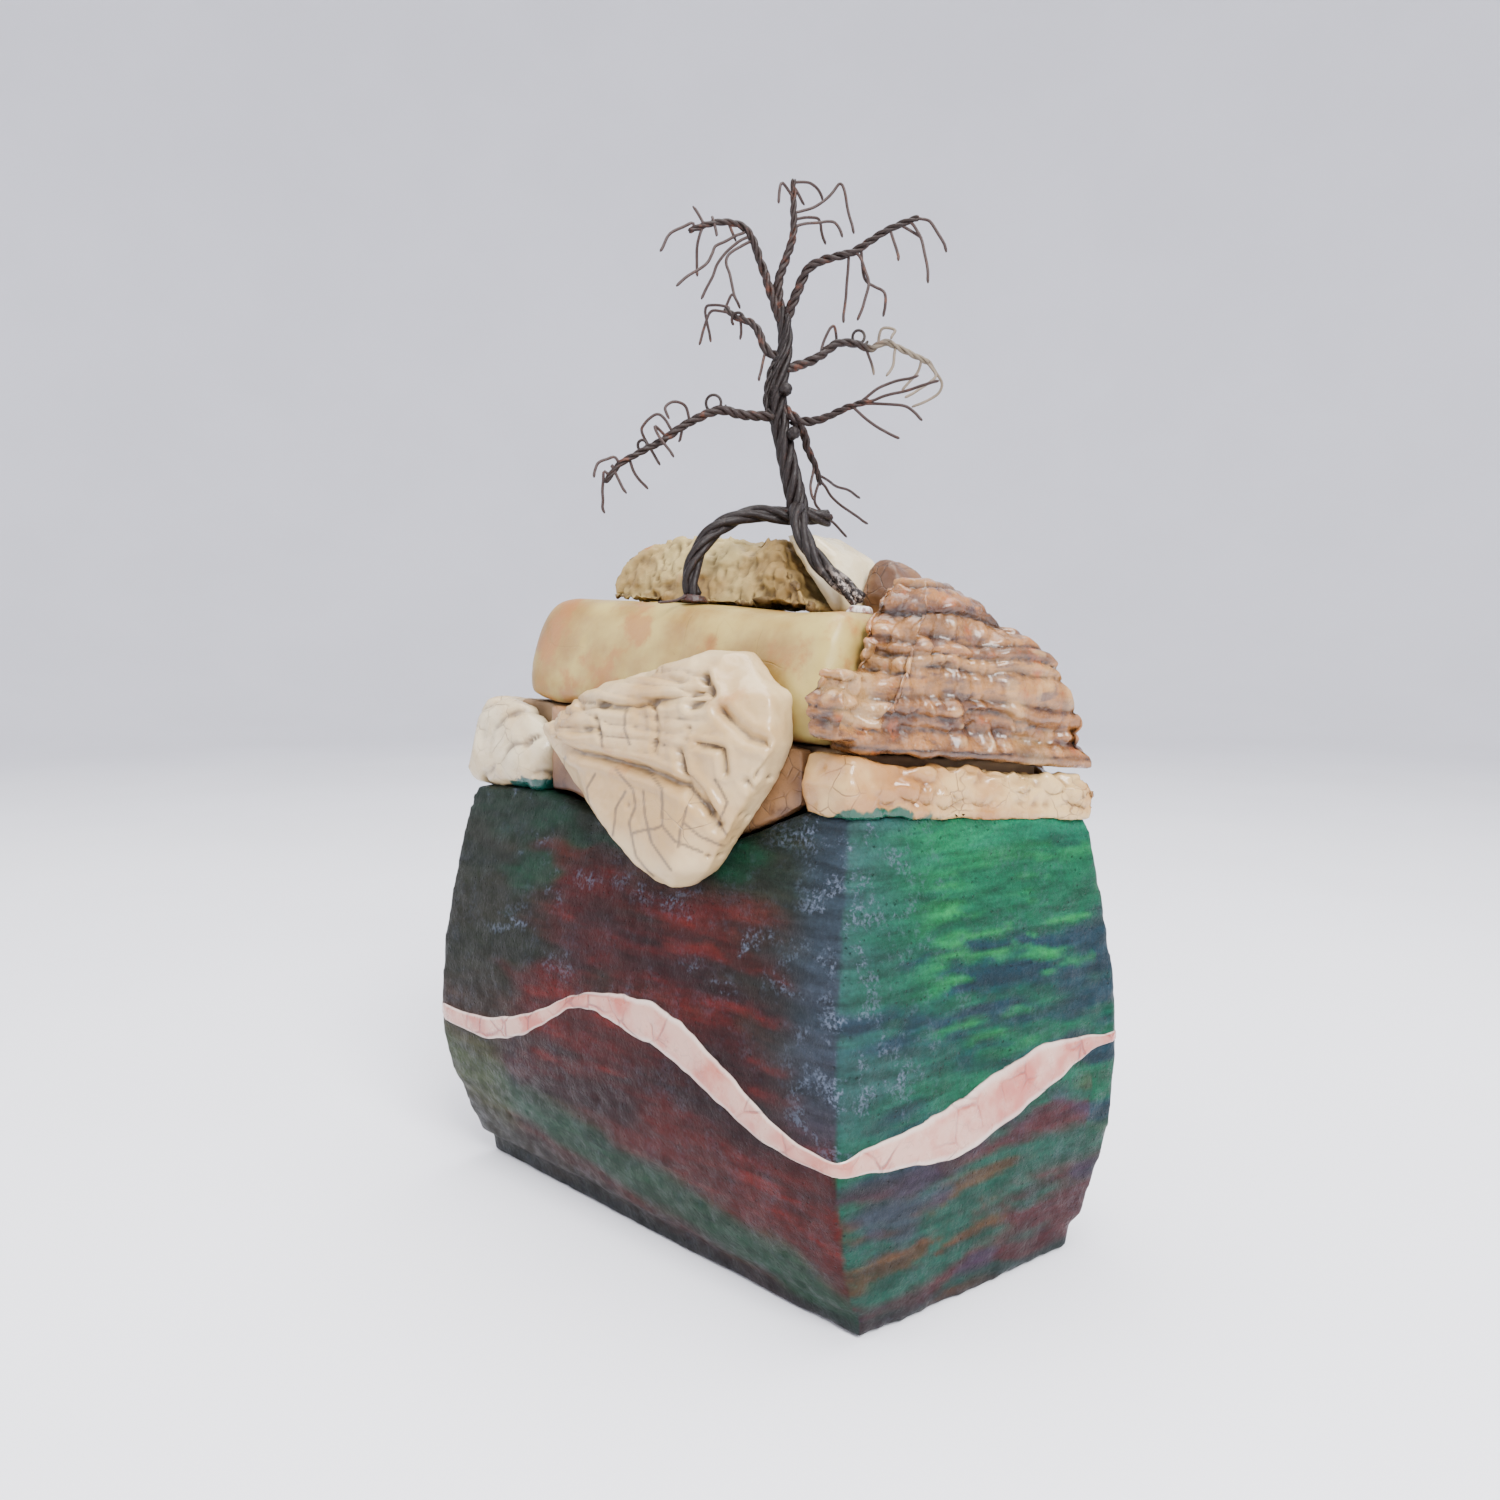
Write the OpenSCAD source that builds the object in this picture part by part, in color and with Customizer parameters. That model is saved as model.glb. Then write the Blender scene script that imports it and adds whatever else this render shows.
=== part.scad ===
// Raku clay box shaped like a faceted boulder, with a lift-off lid of stacked
// clay rocks and a twisted wire tree that stands on the lid.
// X runs along the long front wall, the front wall faces -Y, Z is up, and the
// origin is the middle of the base, on the table.

/* [Box] */
// Length of the base, left corner to right corner
base_w = 158; // [130:1:200]
// Depth of the base, front wall to rear corner
base_d = 82; // [66:1:105]
// Height of the belt, where the box is widest
belt_h = 48; // [38:1:60]
// How far the belt stands out past the base
belt_out = 12; // [6:1:18]
// Height of the walls at the front corner
wall_h = 118; // [96:1:145]
// Thickness of the walls
wall_t = 7; // [5:0.5:9]
// Thickness of the floor slab
floor_t = 7; // [5:0.5:10]
// Relief of the crackle band on the walls
band_relief = 0.8; // [0.5:0.1:1.5]

/* [Rim rocks] */
// Height of the lid seat above the walls at the front corner
rim_h = 12.5; // [9:0.5:18]
// How far the rim rocks stand out past the walls
rim_out = 3; // [1:0.5:5]

/* [Lid] */
// Gap under the lid, left by the glaze on the seat
seat_gap = 0.2; // [0.1:0.1:0.6]
// Gap between the lid's tongue and flange and the box
lid_clear = 1.2; // [0.8:0.1:2]
// Height of the smooth slab above the seat
slab_h = 33; // [24:1:42]
// Depth of the hollow under the lid
hollow_h = 16; // [8:1:18]
// Height of the locating flange under the lid
flange_h = 8; // [5:1:12]
// Thickness of the locating flange
flange_t = 4; // [3:0.5:6]
// Height of the textured rock above the smooth slab
back_rock_h = 21; // [14:1:28]
// Height of the layered rock above the seat
strata_h = 42; // [32:1:52]
// Thickness of the folded front rock
front_rock_t = 15; // [10:1:20]

/* [Wire tree] */
// Height of the tree above its foot
tree_h = 87; // [70:1:110]
// Spread of the tree from tip to tip
tree_w = 90; // [72:1:115]
// Turn of the tree about its trunk
tree_turn = 44; // [30:1:60]
// Diameter of the trunk at its foot
trunk_d = 6.4; // [5.4:0.1:7.6]
// Diameter of a branch where it leaves the trunk
branch_d = 3; // [2.4:0.1:3.6]
// Diameter of a root
root_d = 4.8; // [4:0.1:5.6]
// Diameter of one strand of wire
wire_d = 0.8; // [0.7:0.1:1]

/* [Hidden] */

far = 2 * (base_w + wall_h);  // reach of the cutting solids, past the whole model
steps = 4;                    // rings in the wall below the belt, and above it
overlap = 5;                  // how far cutting shapes run past what they cut

// The rocks and the tree's roots are drawn on a base of this width and depth, and
// their plan follows the base.
drawn_base = [158, 82];
plan = [base_w / drawn_base.x, base_d / drawn_base.y];
function on_plan(p) = [p.x * plan.x, p.y * plan.y];
split = 47.9;              // where the smooth slab meets the layered rock
split_x = split * plan.x;

// Corners in order: front, right, rear right, rear left, left.
base_outline = [for (c = [[0.411, -0.5], [0.5, 0.354], [0.209, 0.5], [-0.437, 0.39], [-0.5, -0.5]])
                [c.x * base_w, c.y * base_d]];
// Steps out to the belt, in parts of belt_out, and from the base in to the rim.
belt_step = [[0.1, -0.85], [0.5, 0.95], [0.3, 1.3], [-0.4, 1.0], [-0.3, -1.25]];
rim_step = [[-7, 4], [2, -3], [0, 0], [0, -1], [-2.5, 0]];

function unit(v) = v / norm(v);
function left_normal(a, b) = let (e = unit(b - a)) [-e.y, e.x];
// Moves every edge of a convex outline inwards by d, or outwards when d is negative.
function inset(outline, d) = [
    for (i = [0 : len(outline) - 1])
        let (n = len(outline),
             before = left_normal(outline[(i + n - 1) % n], outline[i]),
             after = left_normal(outline[i], outline[(i + 1) % n]))
        outline[i] + d * (before + after) / (1 + before * after)];

// Outline of the walls at height z: it swells to the belt and draws in to the rim.
function wall_outline(z) =
    let (swell = z < belt_h ? sin(90 * z / belt_h)
                            : cos(90 * min(1, (z - belt_h) / (wall_h - belt_h))),
         rim_share = z < belt_h ? 0 : 1 - swell)
    [for (i = [0 : 4]) base_outline[i] + belt_out * swell * belt_step[i] + rim_share * rim_step[i]];
function ring_at(outline, z) = [for (p = outline) [p.x, p.y, z]];
wall_levels = concat([for (i = [0 : steps]) floor_t + (belt_h - floor_t) * i / steps],
                     [for (i = [1 : steps]) belt_h + (wall_h - belt_h) * i / steps],
                     [wall_h + rim_h + 4 * overlap]);
rim_outline = wall_outline(wall_h);

// Sloping planes, each given by its height over a point of the plan.
function wall_top(p) = wall_h + 0.035 * (p.x - rim_outline[0].x) - 0.085 * (p.y - rim_outline[0].y);
function seat(p) = wall_h + rim_h - 0.067 * (p.x - rim_outline[0].x)
                   - 0.074 * (p.y - rim_outline[0].y);
function lid_seat(p) = seat(p) + seat_gap;
function slab_top(p) = lid_seat(p) + slab_h + 0.017 * (p.x - rim_outline[0].x);
function on_plane(outline, plane, rise) = [for (p = outline) [p.x, p.y, rise + plane_z(plane, p)]];
function plane_z(plane, p) = plane == "wall_top" ? wall_top(p) : plane == "seat" ? seat(p)
                             : plane == "slab_top" ? slab_top(p) : lid_seat(p);

// Closed skin over a stack of rings that all have the same number of points.
module loft(rings) {
    n = len(rings[0]);
    last = (len(rings) - 1) * n;
    sides = [for (r = [0 : len(rings) - 2], i = [0 : n - 1], half = [0, 1])
             let (j = (i + 1) % n, a = r * n + i, b = a + n, c = (r + 1) * n + j, d = r * n + j)
             half == 0 ? [a, b, c] : [a, c, d]];
    polyhedron(points = [for (ring = rings) each ring],
               faces = concat(sides, [[for (i = [0 : n - 1]) i]],
                              [[for (i = [n - 1 : -1 : 0]) last + i]]));
}

// Everything between two sloping planes, out to the reach of the cutting solids.
square_plan = [[-far, -far], [far, -far], [far, far], [-far, far]];
module between(low, low_rise, high, high_rise)
    loft([on_plane(square_plan, low, low_rise), on_plane(square_plan, high, high_rise)]);

// Everything between two compass angles, seen from above.
module wedge(from, to)
    translate([0, 0, -1]) linear_extrude(2 * far)
        polygon([[0, 0], for (i = [0 : 3]) let (a = from + (to - from) * i / 3)
                 far * [cos(a), sin(a)]]);

module wall_skin(grow) loft([for (z = wall_levels) ring_at(inset(wall_outline(z), -grow), z)]);

// Notch in the front wall that the lid's tongue hangs in: left end, bottom, right end.
notch_depth = 14;
notch_left = -0.31 * base_w;
notch_bottom = [0.09 * base_w, wall_h - notch_depth];
notch_right = 0.285 * base_w;
front_y = rim_outline[0].y;
module notch_prism(shrink, rise) {
    // shrink draws the flanks in, rise carries the shape up past the seat
    left = [notch_left + shrink, wall_top([notch_left, front_y])];
    right = [notch_right - shrink, wall_top([notch_right, front_y])];
    rotate([90, 0, 0]) linear_extrude(far)
        polygon([left, notch_bottom + [0, shrink], right,
                 [right.x, seat([right.x, front_y]) + rise],
                 [left.x, seat([left.x, front_y]) + rise]]);
}

// ---------- box ----------
module box_floor() color([0.2, 0.2, 0.2]) linear_extrude(floor_t) polygon(base_outline);

module box_walls() color([0.12, 0.3, 0.25]) difference() {
    intersection() {
        wall_skin(0);
        between("wall_top", -2 * wall_h, "wall_top", 0);
    }
    wall_hollow();
    notch_prism(0, rim_h);
}
module wall_hollow()
    loft([for (z = wall_levels) ring_at(inset(wall_outline(z), wall_t),
                                        z == floor_t ? floor_t - 1 : z)]);

// Middle height and width of the band at compass angles round the box, drawn on a
// belt at this height.
drawn_belt = 48;
band_middle = [[0, 48.5], [10, 53], [18, 56], [26, 55], [90, 46], [150, 52], [205, 50],
               [216, 46.5], [222, 45.5], [232, 51.5], [246, 61.5], [255, 63.5], [279, 63],
               [288, 60.5], [296, 57], [306, 51], [317, 44.5], [324, 43.5], [346, 43.5], [360, 48.5]];
band_width = [[0, 15], [10, 12.5], [16, 7], [24, 3], [90, 12], [150, 3], [205, 4], [216, 7],
              [222, 7], [232, 4.5], [246, 2.2], [255, 4.5], [267, 9.5], [288, 13.5], [306, 11.5],
              [313, 8.5], [320, 5.5], [324, 4], [330, 8], [338, 11.5], [346, 14], [360, 15]];
band_stations = 72;
band_core = 20;  // radius of the middle, inside the walls, that the band's solid leaves out
module band_region() {
    ring = [for (i = [0 : band_stations - 1]) let (a = 360 * i / band_stations)
            [a, belt_h - drawn_belt + lookup(a, band_middle), lookup(a, band_width) / 2]];
    points = [for (s = ring, edge = [[band_core, -1], [far, -1], [far, 1], [band_core, 1]])
              [edge[0] * cos(s[0]), edge[0] * sin(s[0]), s[1] + edge[1] * s[2]]];
    polyhedron(points = points,
               faces = [for (i = [0 : band_stations - 1], k = [0 : 3], half = [0, 1])
                        let (j = (i + 1) % band_stations, m = (k + 1) % 4,
                             a = 4 * i + k, b = 4 * j + k, c = 4 * j + m, d = 4 * i + m)
                        half == 0 ? [a, c, b] : [a, d, c]]);
}
module crackle_band() color([0.88, 0.76, 0.72]) intersection() {
    difference() {
        wall_skin(band_relief);
        wall_skin(0);
    }
    band_region();
}

// A course of rocks on top of the walls, cut between two compass angles.
module rim_course(from, to, grow) intersection() {
    difference() {
        loft([on_plane(inset(rim_outline, -grow / 2), "wall_top", 0),
              on_plane(inset(rim_outline, -grow), "wall_top", rim_h / 2),
              on_plane(inset(rim_outline, 0), "seat", 0)]);
        loft([on_plane(inset(rim_outline, wall_t), "wall_top", -overlap),
              on_plane(inset(rim_outline, wall_t), "seat", overlap)]);
    }
    wedge(from, to);
}
// Gap in the course over the notch, for the tongue.
module front_gap() translate([notch_left, -far, 0]) cube([notch_right - notch_left, far, far]);
module rim_rock_left() color([0.9, 0.86, 0.76]) difference() {
    rim_course(175, 270, rim_out);
    front_gap();
}
module rim_slab_right() color([0.86, 0.76, 0.62]) difference() {
    rim_course(-90, 36, rim_out);
    front_gap();
}
module rim_rock_rear_right() color([0.86, 0.8, 0.68]) rim_course(36, 105, rim_out);
module rim_rock_rear_left() color([0.84, 0.8, 0.7]) rim_course(105, 175, rim_out);

// ---------- lid ----------
// Outline of the lid on its seat: the box's rim, with the left front corner cut off.
corner_cut = 20;  // length of the cut
lid_edge = 1.5;   // how far the lid's edge lies in from the rim
lid_slope = 10;   // how far the lid's flank leans in over its height
lid_outline = let (r = inset(rim_outline, lid_edge))
    [r[0], r[1], r[2], r[3], r[4] + [1, 0.8 * corner_cut], r[4] + [corner_cut, 1]];
module left_of_split() translate([split_x - 2 * far, -far, 0]) cube([2 * far, 2 * far, 2 * far]);

module lid_slab() color([0.8, 0.74, 0.58]) difference() {
    intersection() {
        loft([on_plane(lid_outline, "lid_seat", 0),
              on_plane(inset(lid_outline, 0.1 * lid_slope), "lid_seat", 0.3 * slab_h),
              on_plane(inset(lid_outline, 0.5 * lid_slope), "slab_top", -0.2 * slab_h),
              on_plane(inset(lid_outline, lid_slope), "slab_top", 0)]);
        left_of_split();
    }
    lid_hollow(split_x - wall_t);
}
module lid_hollow(right_x) intersection() {
    loft([on_plane(hollow_outline, "lid_seat", -overlap),
          on_plane(hollow_outline, "lid_seat", hollow_h)]);
    translate([right_x - far, -far, 0]) cube([far, 2 * far, 2 * far]);
}
flange_outline = inset(rim_outline, wall_t + lid_clear);
hollow_outline = inset(flange_outline, flange_t + 2);

// The tongue is thinner than the wall by a little on each face.
tongue_inset = 0.5;
tongue_outline = inset(rim_outline, tongue_inset);
module lid_tongue() color([0.7, 0.58, 0.45]) intersection() {
    loft([on_plane(tongue_outline, "wall_top", -2 * notch_depth),
          on_plane(tongue_outline, "lid_seat", 0)]);
    difference() {
        notch_prism(lid_clear, 2 * seat_gap);
        translate([0, 0, -1]) linear_extrude(2 * far)
            polygon(inset(rim_outline, wall_t - tongue_inset));
    }
}

module lid_flange() color([0.72, 0.62, 0.5]) difference() {
    loft([on_plane(flange_outline, "lid_seat", -flange_h), on_plane(flange_outline, "lid_seat", 0)]);
    translate([0, 0, -1]) linear_extrude(2 * far) polygon(inset(flange_outline, flange_t));
}

// Folded rock on the front: rows from its tip up, each with its left end, right end,
// height over the tip and thickness in parts of the full thickness.
front_rock_rows = [[9, 18, 0, 0.4], [1, 25, 5, 0.7], [-15, 30, 14, 0.9], [-32, 37, 26, 1],
                   [-41, 42, 35, 1], [-22, 40, 46, 0.9], [18, 27, 56, 0.6]];
front_rock_z = wall_h - 20.5;  // height of its tip
function front_face_y(x, z) = let (o = wall_outline(z), t = (x - o[4].x) / (o[0].x - o[4].x))
    o[4].y + t * (o[0].y - o[4].y);
// The back hangs clear of the wall, and is luted to the tongue and the leaning slab.
function rock_back(x, z) = z < wall_h - 1 ? front_face_y(x, z) - lid_clear
    : front_face_y(x, wall_h) + 0.3 + max(0, z - seat([x, front_y])) * lid_slope / slab_h / 2;
module front_rock() color([0.88, 0.82, 0.7])
    loft([for (row = front_rock_rows)
          let (z = front_rock_z + row[2], left = row[0] * plan.x, right = row[1] * plan.x,
               mid = (left + right) / 2, half = (right - left) / 2,
               back = min(rock_back(left, z), rock_back(right, z)),
               front = back - row[3] * front_rock_t)
          ring_at([[right, rock_back(right, z)], [left, rock_back(left, z)],
                   [left - 1, (back + front) / 2], [mid - 0.6 * half, front],
                   [mid + 0.6 * half, front], [right + 1, (back + front) / 2]], z)]);

// Rocks on the slab. Each is a stack of four-cornered outlines: [x, y] front left,
// front right, back right, back left, and the height of the layer.
module stack(layers, plane)
    loft([for (layer = layers) on_plane([for (p = layer[0]) on_plan(p)], plane, layer[1])]);
// The cap stone lies on the slanting end of the textured rock: its left edge at the
// foot, at two heights between, and at the top.
cap_x = [24, 18, 10, 4];
module back_rock() color([0.8, 0.75, 0.6])
    stack([[[[-54, -12], [cap_x[0], -11], [cap_x[0], 20], [-50, 18]], 0],
           [[[-56, -11], [cap_x[1], -10], [cap_x[1], 21], [-50, 20]], 0.35 * back_rock_h],
           [[[-50, -8], [cap_x[2], -7], [cap_x[2], 20], [-46, 18]], 0.75 * back_rock_h],
           [[[-38, -3], [cap_x[3], -3], [cap_x[3], 14], [-36, 12]], back_rock_h]], "slab_top");
module cap_stone() color([0.92, 0.88, 0.8])
    stack([[[[cap_x[0], -4], [27, -3], [27, 18], [cap_x[0], 19]], 0],
           [[[cap_x[1], -4], [27, -3], [27, 18], [cap_x[1], 19]], 0.35 * back_rock_h],
           [[[cap_x[2], -3], [23, -1], [24, 16], [cap_x[2], 17]], 0.75 * back_rock_h],
           [[[cap_x[3], 0], [14, 1], [15, 12], [cap_x[3], 13]], back_rock_h]], "slab_top");
module rear_boulder() color([0.6, 0.5, 0.45])
    stack([[[[28, 6], [38, 6], [38, 20], [28, 20]], 0],
           [[[27.5, 4], [40, 5], [40, 22], [27.5, 22]], 6],
           [[[28, 7], [37, 7], [37, 18], [28, 18]], 13],
           [[[29, 9], [33, 9], [33, 16], [29, 16]], 16]], "slab_top");
module strata_rock() color([0.7, 0.55, 0.42])
    stack([[[[split, -34], [57, -35], [83, 27], [split, 36]], 0],
           [[[split, -30], [64, -30], [82, 25], [split, 34]], 0.3 * strata_h],
           [[[split, -25], [65, -24], [79, 18], [split, 30]], 0.62 * strata_h],
           [[[split, -19], [65, -18], [69, 8], [split, 22]], 0.85 * strata_h],
           [[[split + 1, -13], [60, -12], [59, 1], [split + 1, 8]], strata_h]], "lid_seat");
module strata_lobe() color([0.72, 0.5, 0.36]) difference() {
    stack([[[[50, -44], [59, -43], [58, -30], [50, -30]], 3],
           [[[49, -45], [61, -43], [59, -28], [49, -28]], 10],
           [[[51, -43], [60, -41], [58, -26], [51, -26]], 19]], "lid_seat");
    strata_rock();
}

// ---------- wire tree ----------
foot_lift = back_rock_h + 4;  // the tree's foot clears the textured rock by this 4
foot_plan = on_plan([6, -1]);
tree_foot = [foot_plan.x, foot_plan.y, slab_top(foot_plan) + foot_lift];
module on_tree() translate(tree_foot) rotate([0, 0, tree_turn]) children();

// Points of the tree are [across, up], seen from the front. lean carries a branch
// back or forward as it goes out, and drift does the same along a twig.
function in_space(path, root, lean, drift) = [
    for (i = [0 : len(path) - 1])
        on_trunk([path[i].x, lean * (path[i].x - root) + drift * i, path[i].y])];
// The paths are drawn on a tree of this spread and height.
drawn_tree = [90, 93];
function on_trunk(p) = let (across = tree_w / drawn_tree.x)
    [p.x * across, p.y * across, p.z * tree_h / drawn_tree.y];
function spline_point(a, b, c, d, t) =
    0.5 * (2 * b + (c - a) * t + (2 * a - 5 * b + 4 * c - d) * t * t
           + (3 * b - a - 3 * c + d) * t * t * t);
function smooth_path(p, cuts) = let (n = len(p) - 1) concat(
    [for (i = [0 : n - 1], k = [0 : cuts - 1])
        spline_point(p[max(i - 1, 0)], p[i], p[i + 1], p[min(i + 2, n)], k / cuts)],
    [p[n]]);

// A round wire along a path, d_start thick at its start and d_end at its end.
function wire_points(p, d_start, d_end, sides) = let (n = len(p) - 1) [
    for (i = [0 : n], k = [0 : sides - 1])
        let (along = unit(p[min(i + 1, n)] - p[max(i - 1, 0)]),
             side = unit(cross(along, [0, 1, 0])), other = cross(along, side),
             r = (d_start + (d_end - d_start) * i / n) / 2, a = 360 * k / sides)
        p[i] + r * (cos(a) * side + sin(a) * other)];
function wire_faces(rings, sides, first) = concat(
    [for (i = [0 : rings - 2], k = [0 : sides - 1], half = [0, 1])
        let (m = (k + 1) % sides, a = first + i * sides + k, b = a + sides,
             c = first + (i + 1) * sides + m, d = first + i * sides + m)
        half == 0 ? [a, c, b] : [a, d, c]],
    [[for (k = [sides - 1 : -1 : 0]) first + k]],
    [[for (k = [0 : sides - 1]) first + (rings - 1) * sides + k]]);
module wire(path, d_start, d_end, sides = 6, cuts = 2) {
    p = smooth_path(path, cuts);
    polyhedron(points = wire_points(p, d_start, d_end, sides),
               faces = wire_faces(len(p), sides, 0));
}
// Several wires that don't meet, as one polyhedron of separate closed skins.
module wire_group(paths, sides = 5, cuts = 2) {
    smoothed = [for (path = paths) smooth_path(path, cuts)];
    starts = [for (i = 0, s = 0; i < len(paths); s = s + len(smoothed[i]) * sides, i = i + 1) s];
    polyhedron(points = [for (p = smoothed) each wire_points(p, wire_d, wire_d, sides)],
               faces = [for (i = [0 : len(paths) - 1])
                        each wire_faces(len(smoothed[i]), sides, starts[i])]);
}

trunk_path = [[4, -2], [3, 5], [1, 14], [-1, 24], [-2, 33], [-1, 41], [0, 49], [-1, 58]];
branch_paths = [
    [[-1, 28], [-11, 28], [-17, 29], [-22, 27], [-27, 24], [-32, 20], [-37, 17], [-43, 13], [-46.5, 8]],
    [[-1, 44], [-5, 47], [-7, 52], [-9, 55], [-13, 57], [-16, 60]],
    [[-1, 54], [-3, 59], [-5, 65], [-7, 71], [-9, 76], [-12, 79], [-18, 79], [-25, 76]],
    [[-1, 55], [-2, 64], [0, 71], [2, 78], [2, 85], [2, 93]],
    [[0, 54], [3, 62], [6, 68], [11, 70], [17, 71], [24, 75], [29, 77], [33, 78]],
    [[0, 41], [5, 43], [9, 45], [14, 49], [19, 49], [23, 48], [27, 50], [32, 48], [39, 45]],
    [[-1, 31], [3, 27], [7, 26], [11, 27], [16, 29], [21, 30]],
    [[2, 27], [5, 24], [6, 20], [8, 16], [10, 10]]];
branch_lean = [0.25, -0.5, 0.3, 0.4, -0.35, 0.2, -0.5, 0.9];
twig_drift = 1.2;  // how far twigs go forward or back at each point, turn about
twig_paths = [
    [[[-47, 11], [-47.5, 6], [-47, 0]], [[-44, 15], [-48, 13], [-49, 9]],
     [[-29, 22], [-33, 27], [-37, 24], [-37, 21], [-33, 14]],
     [[-31, 21], [-34, 24], [-33, 21], [-29, 15]], [[-27, 24], [-28, 20]],
     [[-25, 25], [-26, 29], [-29, 30], [-31, 28], [-30, 25]],
     [[-41, 16], [-39, 11], [-36, 7]], [[-45, 13], [-43, 9], [-41, 5]]],
    [[[-15, 60], [-21, 62], [-21, 58], [-20, 52]], [[-14, 58], [-20, 59], [-23, 50]],
     [[-12, 57], [-12, 51]], [[-5, 47], [-6, 43], [-7, 38]], [[-16, 60], [-14, 64], [-12, 60]]],
    [[[-22, 79], [-24, 83]], [[-24, 78], [-29, 75], [-32, 69]], [[-21, 79], [-23, 72], [-23, 65]],
     [[-19, 80], [-18, 75]], [[-15, 79], [-13, 75]],
     [[-11, 77], [-18, 73], [-21, 67], [-28, 60]], [[-10, 76], [-17, 70], [-22, 59]],
     [[-9, 75], [-15, 70], [-14, 61], [-13, 58]]],
    [[[2, 92], [6, 93], [9, 92], [10, 90]], [[2, 88], [-1, 91], [-2, 85]], [[2, 91], [5, 87]],
     [[2, 84], [8, 86], [13, 92], [15, 91], [18, 79]], [[2, 82], [8, 84], [10, 81], [11, 78]],
     [[2, 80], [9, 82], [13, 82], [15, 78]]],
    [[[32, 78], [36, 77], [40, 69]], [[31, 77], [34, 71], [35, 60]], [[28, 77], [34, 73]],
     [[26, 76], [28, 67]], [[16, 71], [16, 64], [15, 53]], [[17.5, 71], [21, 62], [18, 52]],
     [[19, 72], [20, 64], [25, 60], [25, 54]]],
    [[[9, 45], [11, 52], [13, 54], [14, 50]], [[25, 49], [26, 53], [29, 53], [28, 50]],
     [[22, 48], [24, 41]], [[30, 49], [29, 44], [27, 40]], [[37, 46], [36, 42], [32, 37]],
     [[38.5, 45], [41, 41], [37, 37], [32, 34]], [[39, 45.5], [43, 40], [41, 36], [35, 33]]],
    [[[19, 30], [24, 34], [33, 36]], [[20.5, 30], [27, 31], [37, 33]],
     [[20, 29.5], [29, 28], [34, 24]], [[17, 29], [21, 24], [28, 19]]],
    [[[9, 13], [14, 11], [22, 8]], [[10, 11], [14, 6], [24, 0]], [[9.5, 11], [9, 4], [18, -4]],
     [[8, 15], [7, 9], [8, 5]]]];

module trunk() color([0.2, 0.16, 0.15]) on_tree()
    wire(in_space(trunk_path, 0, 0, 0), trunk_d, 0.6 * trunk_d, sides = 10);
module branch(i) color([0.26, 0.19, 0.17]) on_tree()
    wire(in_space(branch_paths[i], branch_paths[i][0].x, branch_lean[i], 0),
         branch_d, 0.55 * branch_d);
module twigs(i) color([0.34, 0.27, 0.26]) on_tree()
    wire_group([for (k = [0 : len(twig_paths[i]) - 1])
                in_space(twig_paths[i][k], branch_paths[i][0].x, branch_lean[i],
                         k % 2 == 0 ? twig_drift : -twig_drift)]);

// Heavy strand wound up the trunk, which thins towards its top.
wind_cuts = 6;     // pieces from each point of the trunk to the next
wind_angle = 7.5;  // turn from one piece to the next
module binding_wire() color([0.16, 0.13, 0.12]) on_tree() {
    middle = smooth_path(trunk_path, wind_cuts);
    last = len(middle) - 1;
    path = [for (i = [wind_cuts : last - 2])
        let (r = (1 - 0.4 * i / last) * trunk_d / 2, a = wind_angle * i)
        on_trunk([middle[i].x, 0, middle[i].y]) + r * [cos(a), sin(a), 0]];
    wire(path, 2 * wire_d, 2 * wire_d, sides = 5, cuts = 1);
}
module trunk_knots() color([0.18, 0.14, 0.13]) on_tree()
    for (spot = [[0, -2.5, 35], [2, -2.5, 23]])
        translate(on_trunk(spot)) sphere(r = 0.3 * trunk_d, $fn = 12);
module side_strand() color([0.2, 0.16, 0.15]) on_tree()
    wire([for (p = [[-1, -1, 45], [-3.5, -1, 42], [-5, -1, 36], [-5, -1, 30], [-2, -1, 27]])
          on_trunk(p)], 2 * wire_d, 2 * wire_d);

// Roots, as [right, back, up] points from the trunk's foot. Up is in parts of the
// foot's height above the slab, so that the feet land on it.
root_left_path = [[1.4, 1.4, 0], [-5, -4.9, 0.04], [-8.7, -11.2, -0.04], [-11.6, -16.8, -0.2],
                  [-13.1, -21, -0.48], [-13.1, -22.4, -0.72], [-12.4, -21.7, -0.86]];
root_right_path = [[2.9, 1.4, 0.08], [7, -2.9, 0], [11.9, -6.6, -0.24], [17.6, -6.7, -0.52],
                   [24, -4.7, -0.76], [28.2, -3.3, -0.92]];
root_rear_path = [[2.9, 2.8, 0.04], [5.1, 6.3, 0], [6.6, 10.5, 0]];
loose_path = [[-12.4, -24.5, -0.84], [-13.2, -28.1, -0.9], [-14, -33, -0.92]];
function at_foot(path) = [for (p = path) tree_foot + [p.x * plan.x, p.y * plan.y, p.z * foot_lift]];
module root(path) color([0.22, 0.17, 0.16]) wire(at_foot(path), root_d, root_d);
module loose_wire() color([0.3, 0.2, 0.16]) wire(at_foot(loose_path), wire_d, wire_d, sides = 5);
glue_h = 2;  // height of the glue pads
function disc(p, r) = [for (a = [0 : 15 : 345]) [p.x + r * cos(a), p.y + r * sin(a)]];
module root_glue() color([0.85, 0.82, 0.78])
    for (p = at_foot([root_left_path[6], root_right_path[5]]))
        loft([on_plane(disc(p, 4), "slab_top", 0), on_plane(disc(p, 3), "slab_top", glue_h)]);

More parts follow.
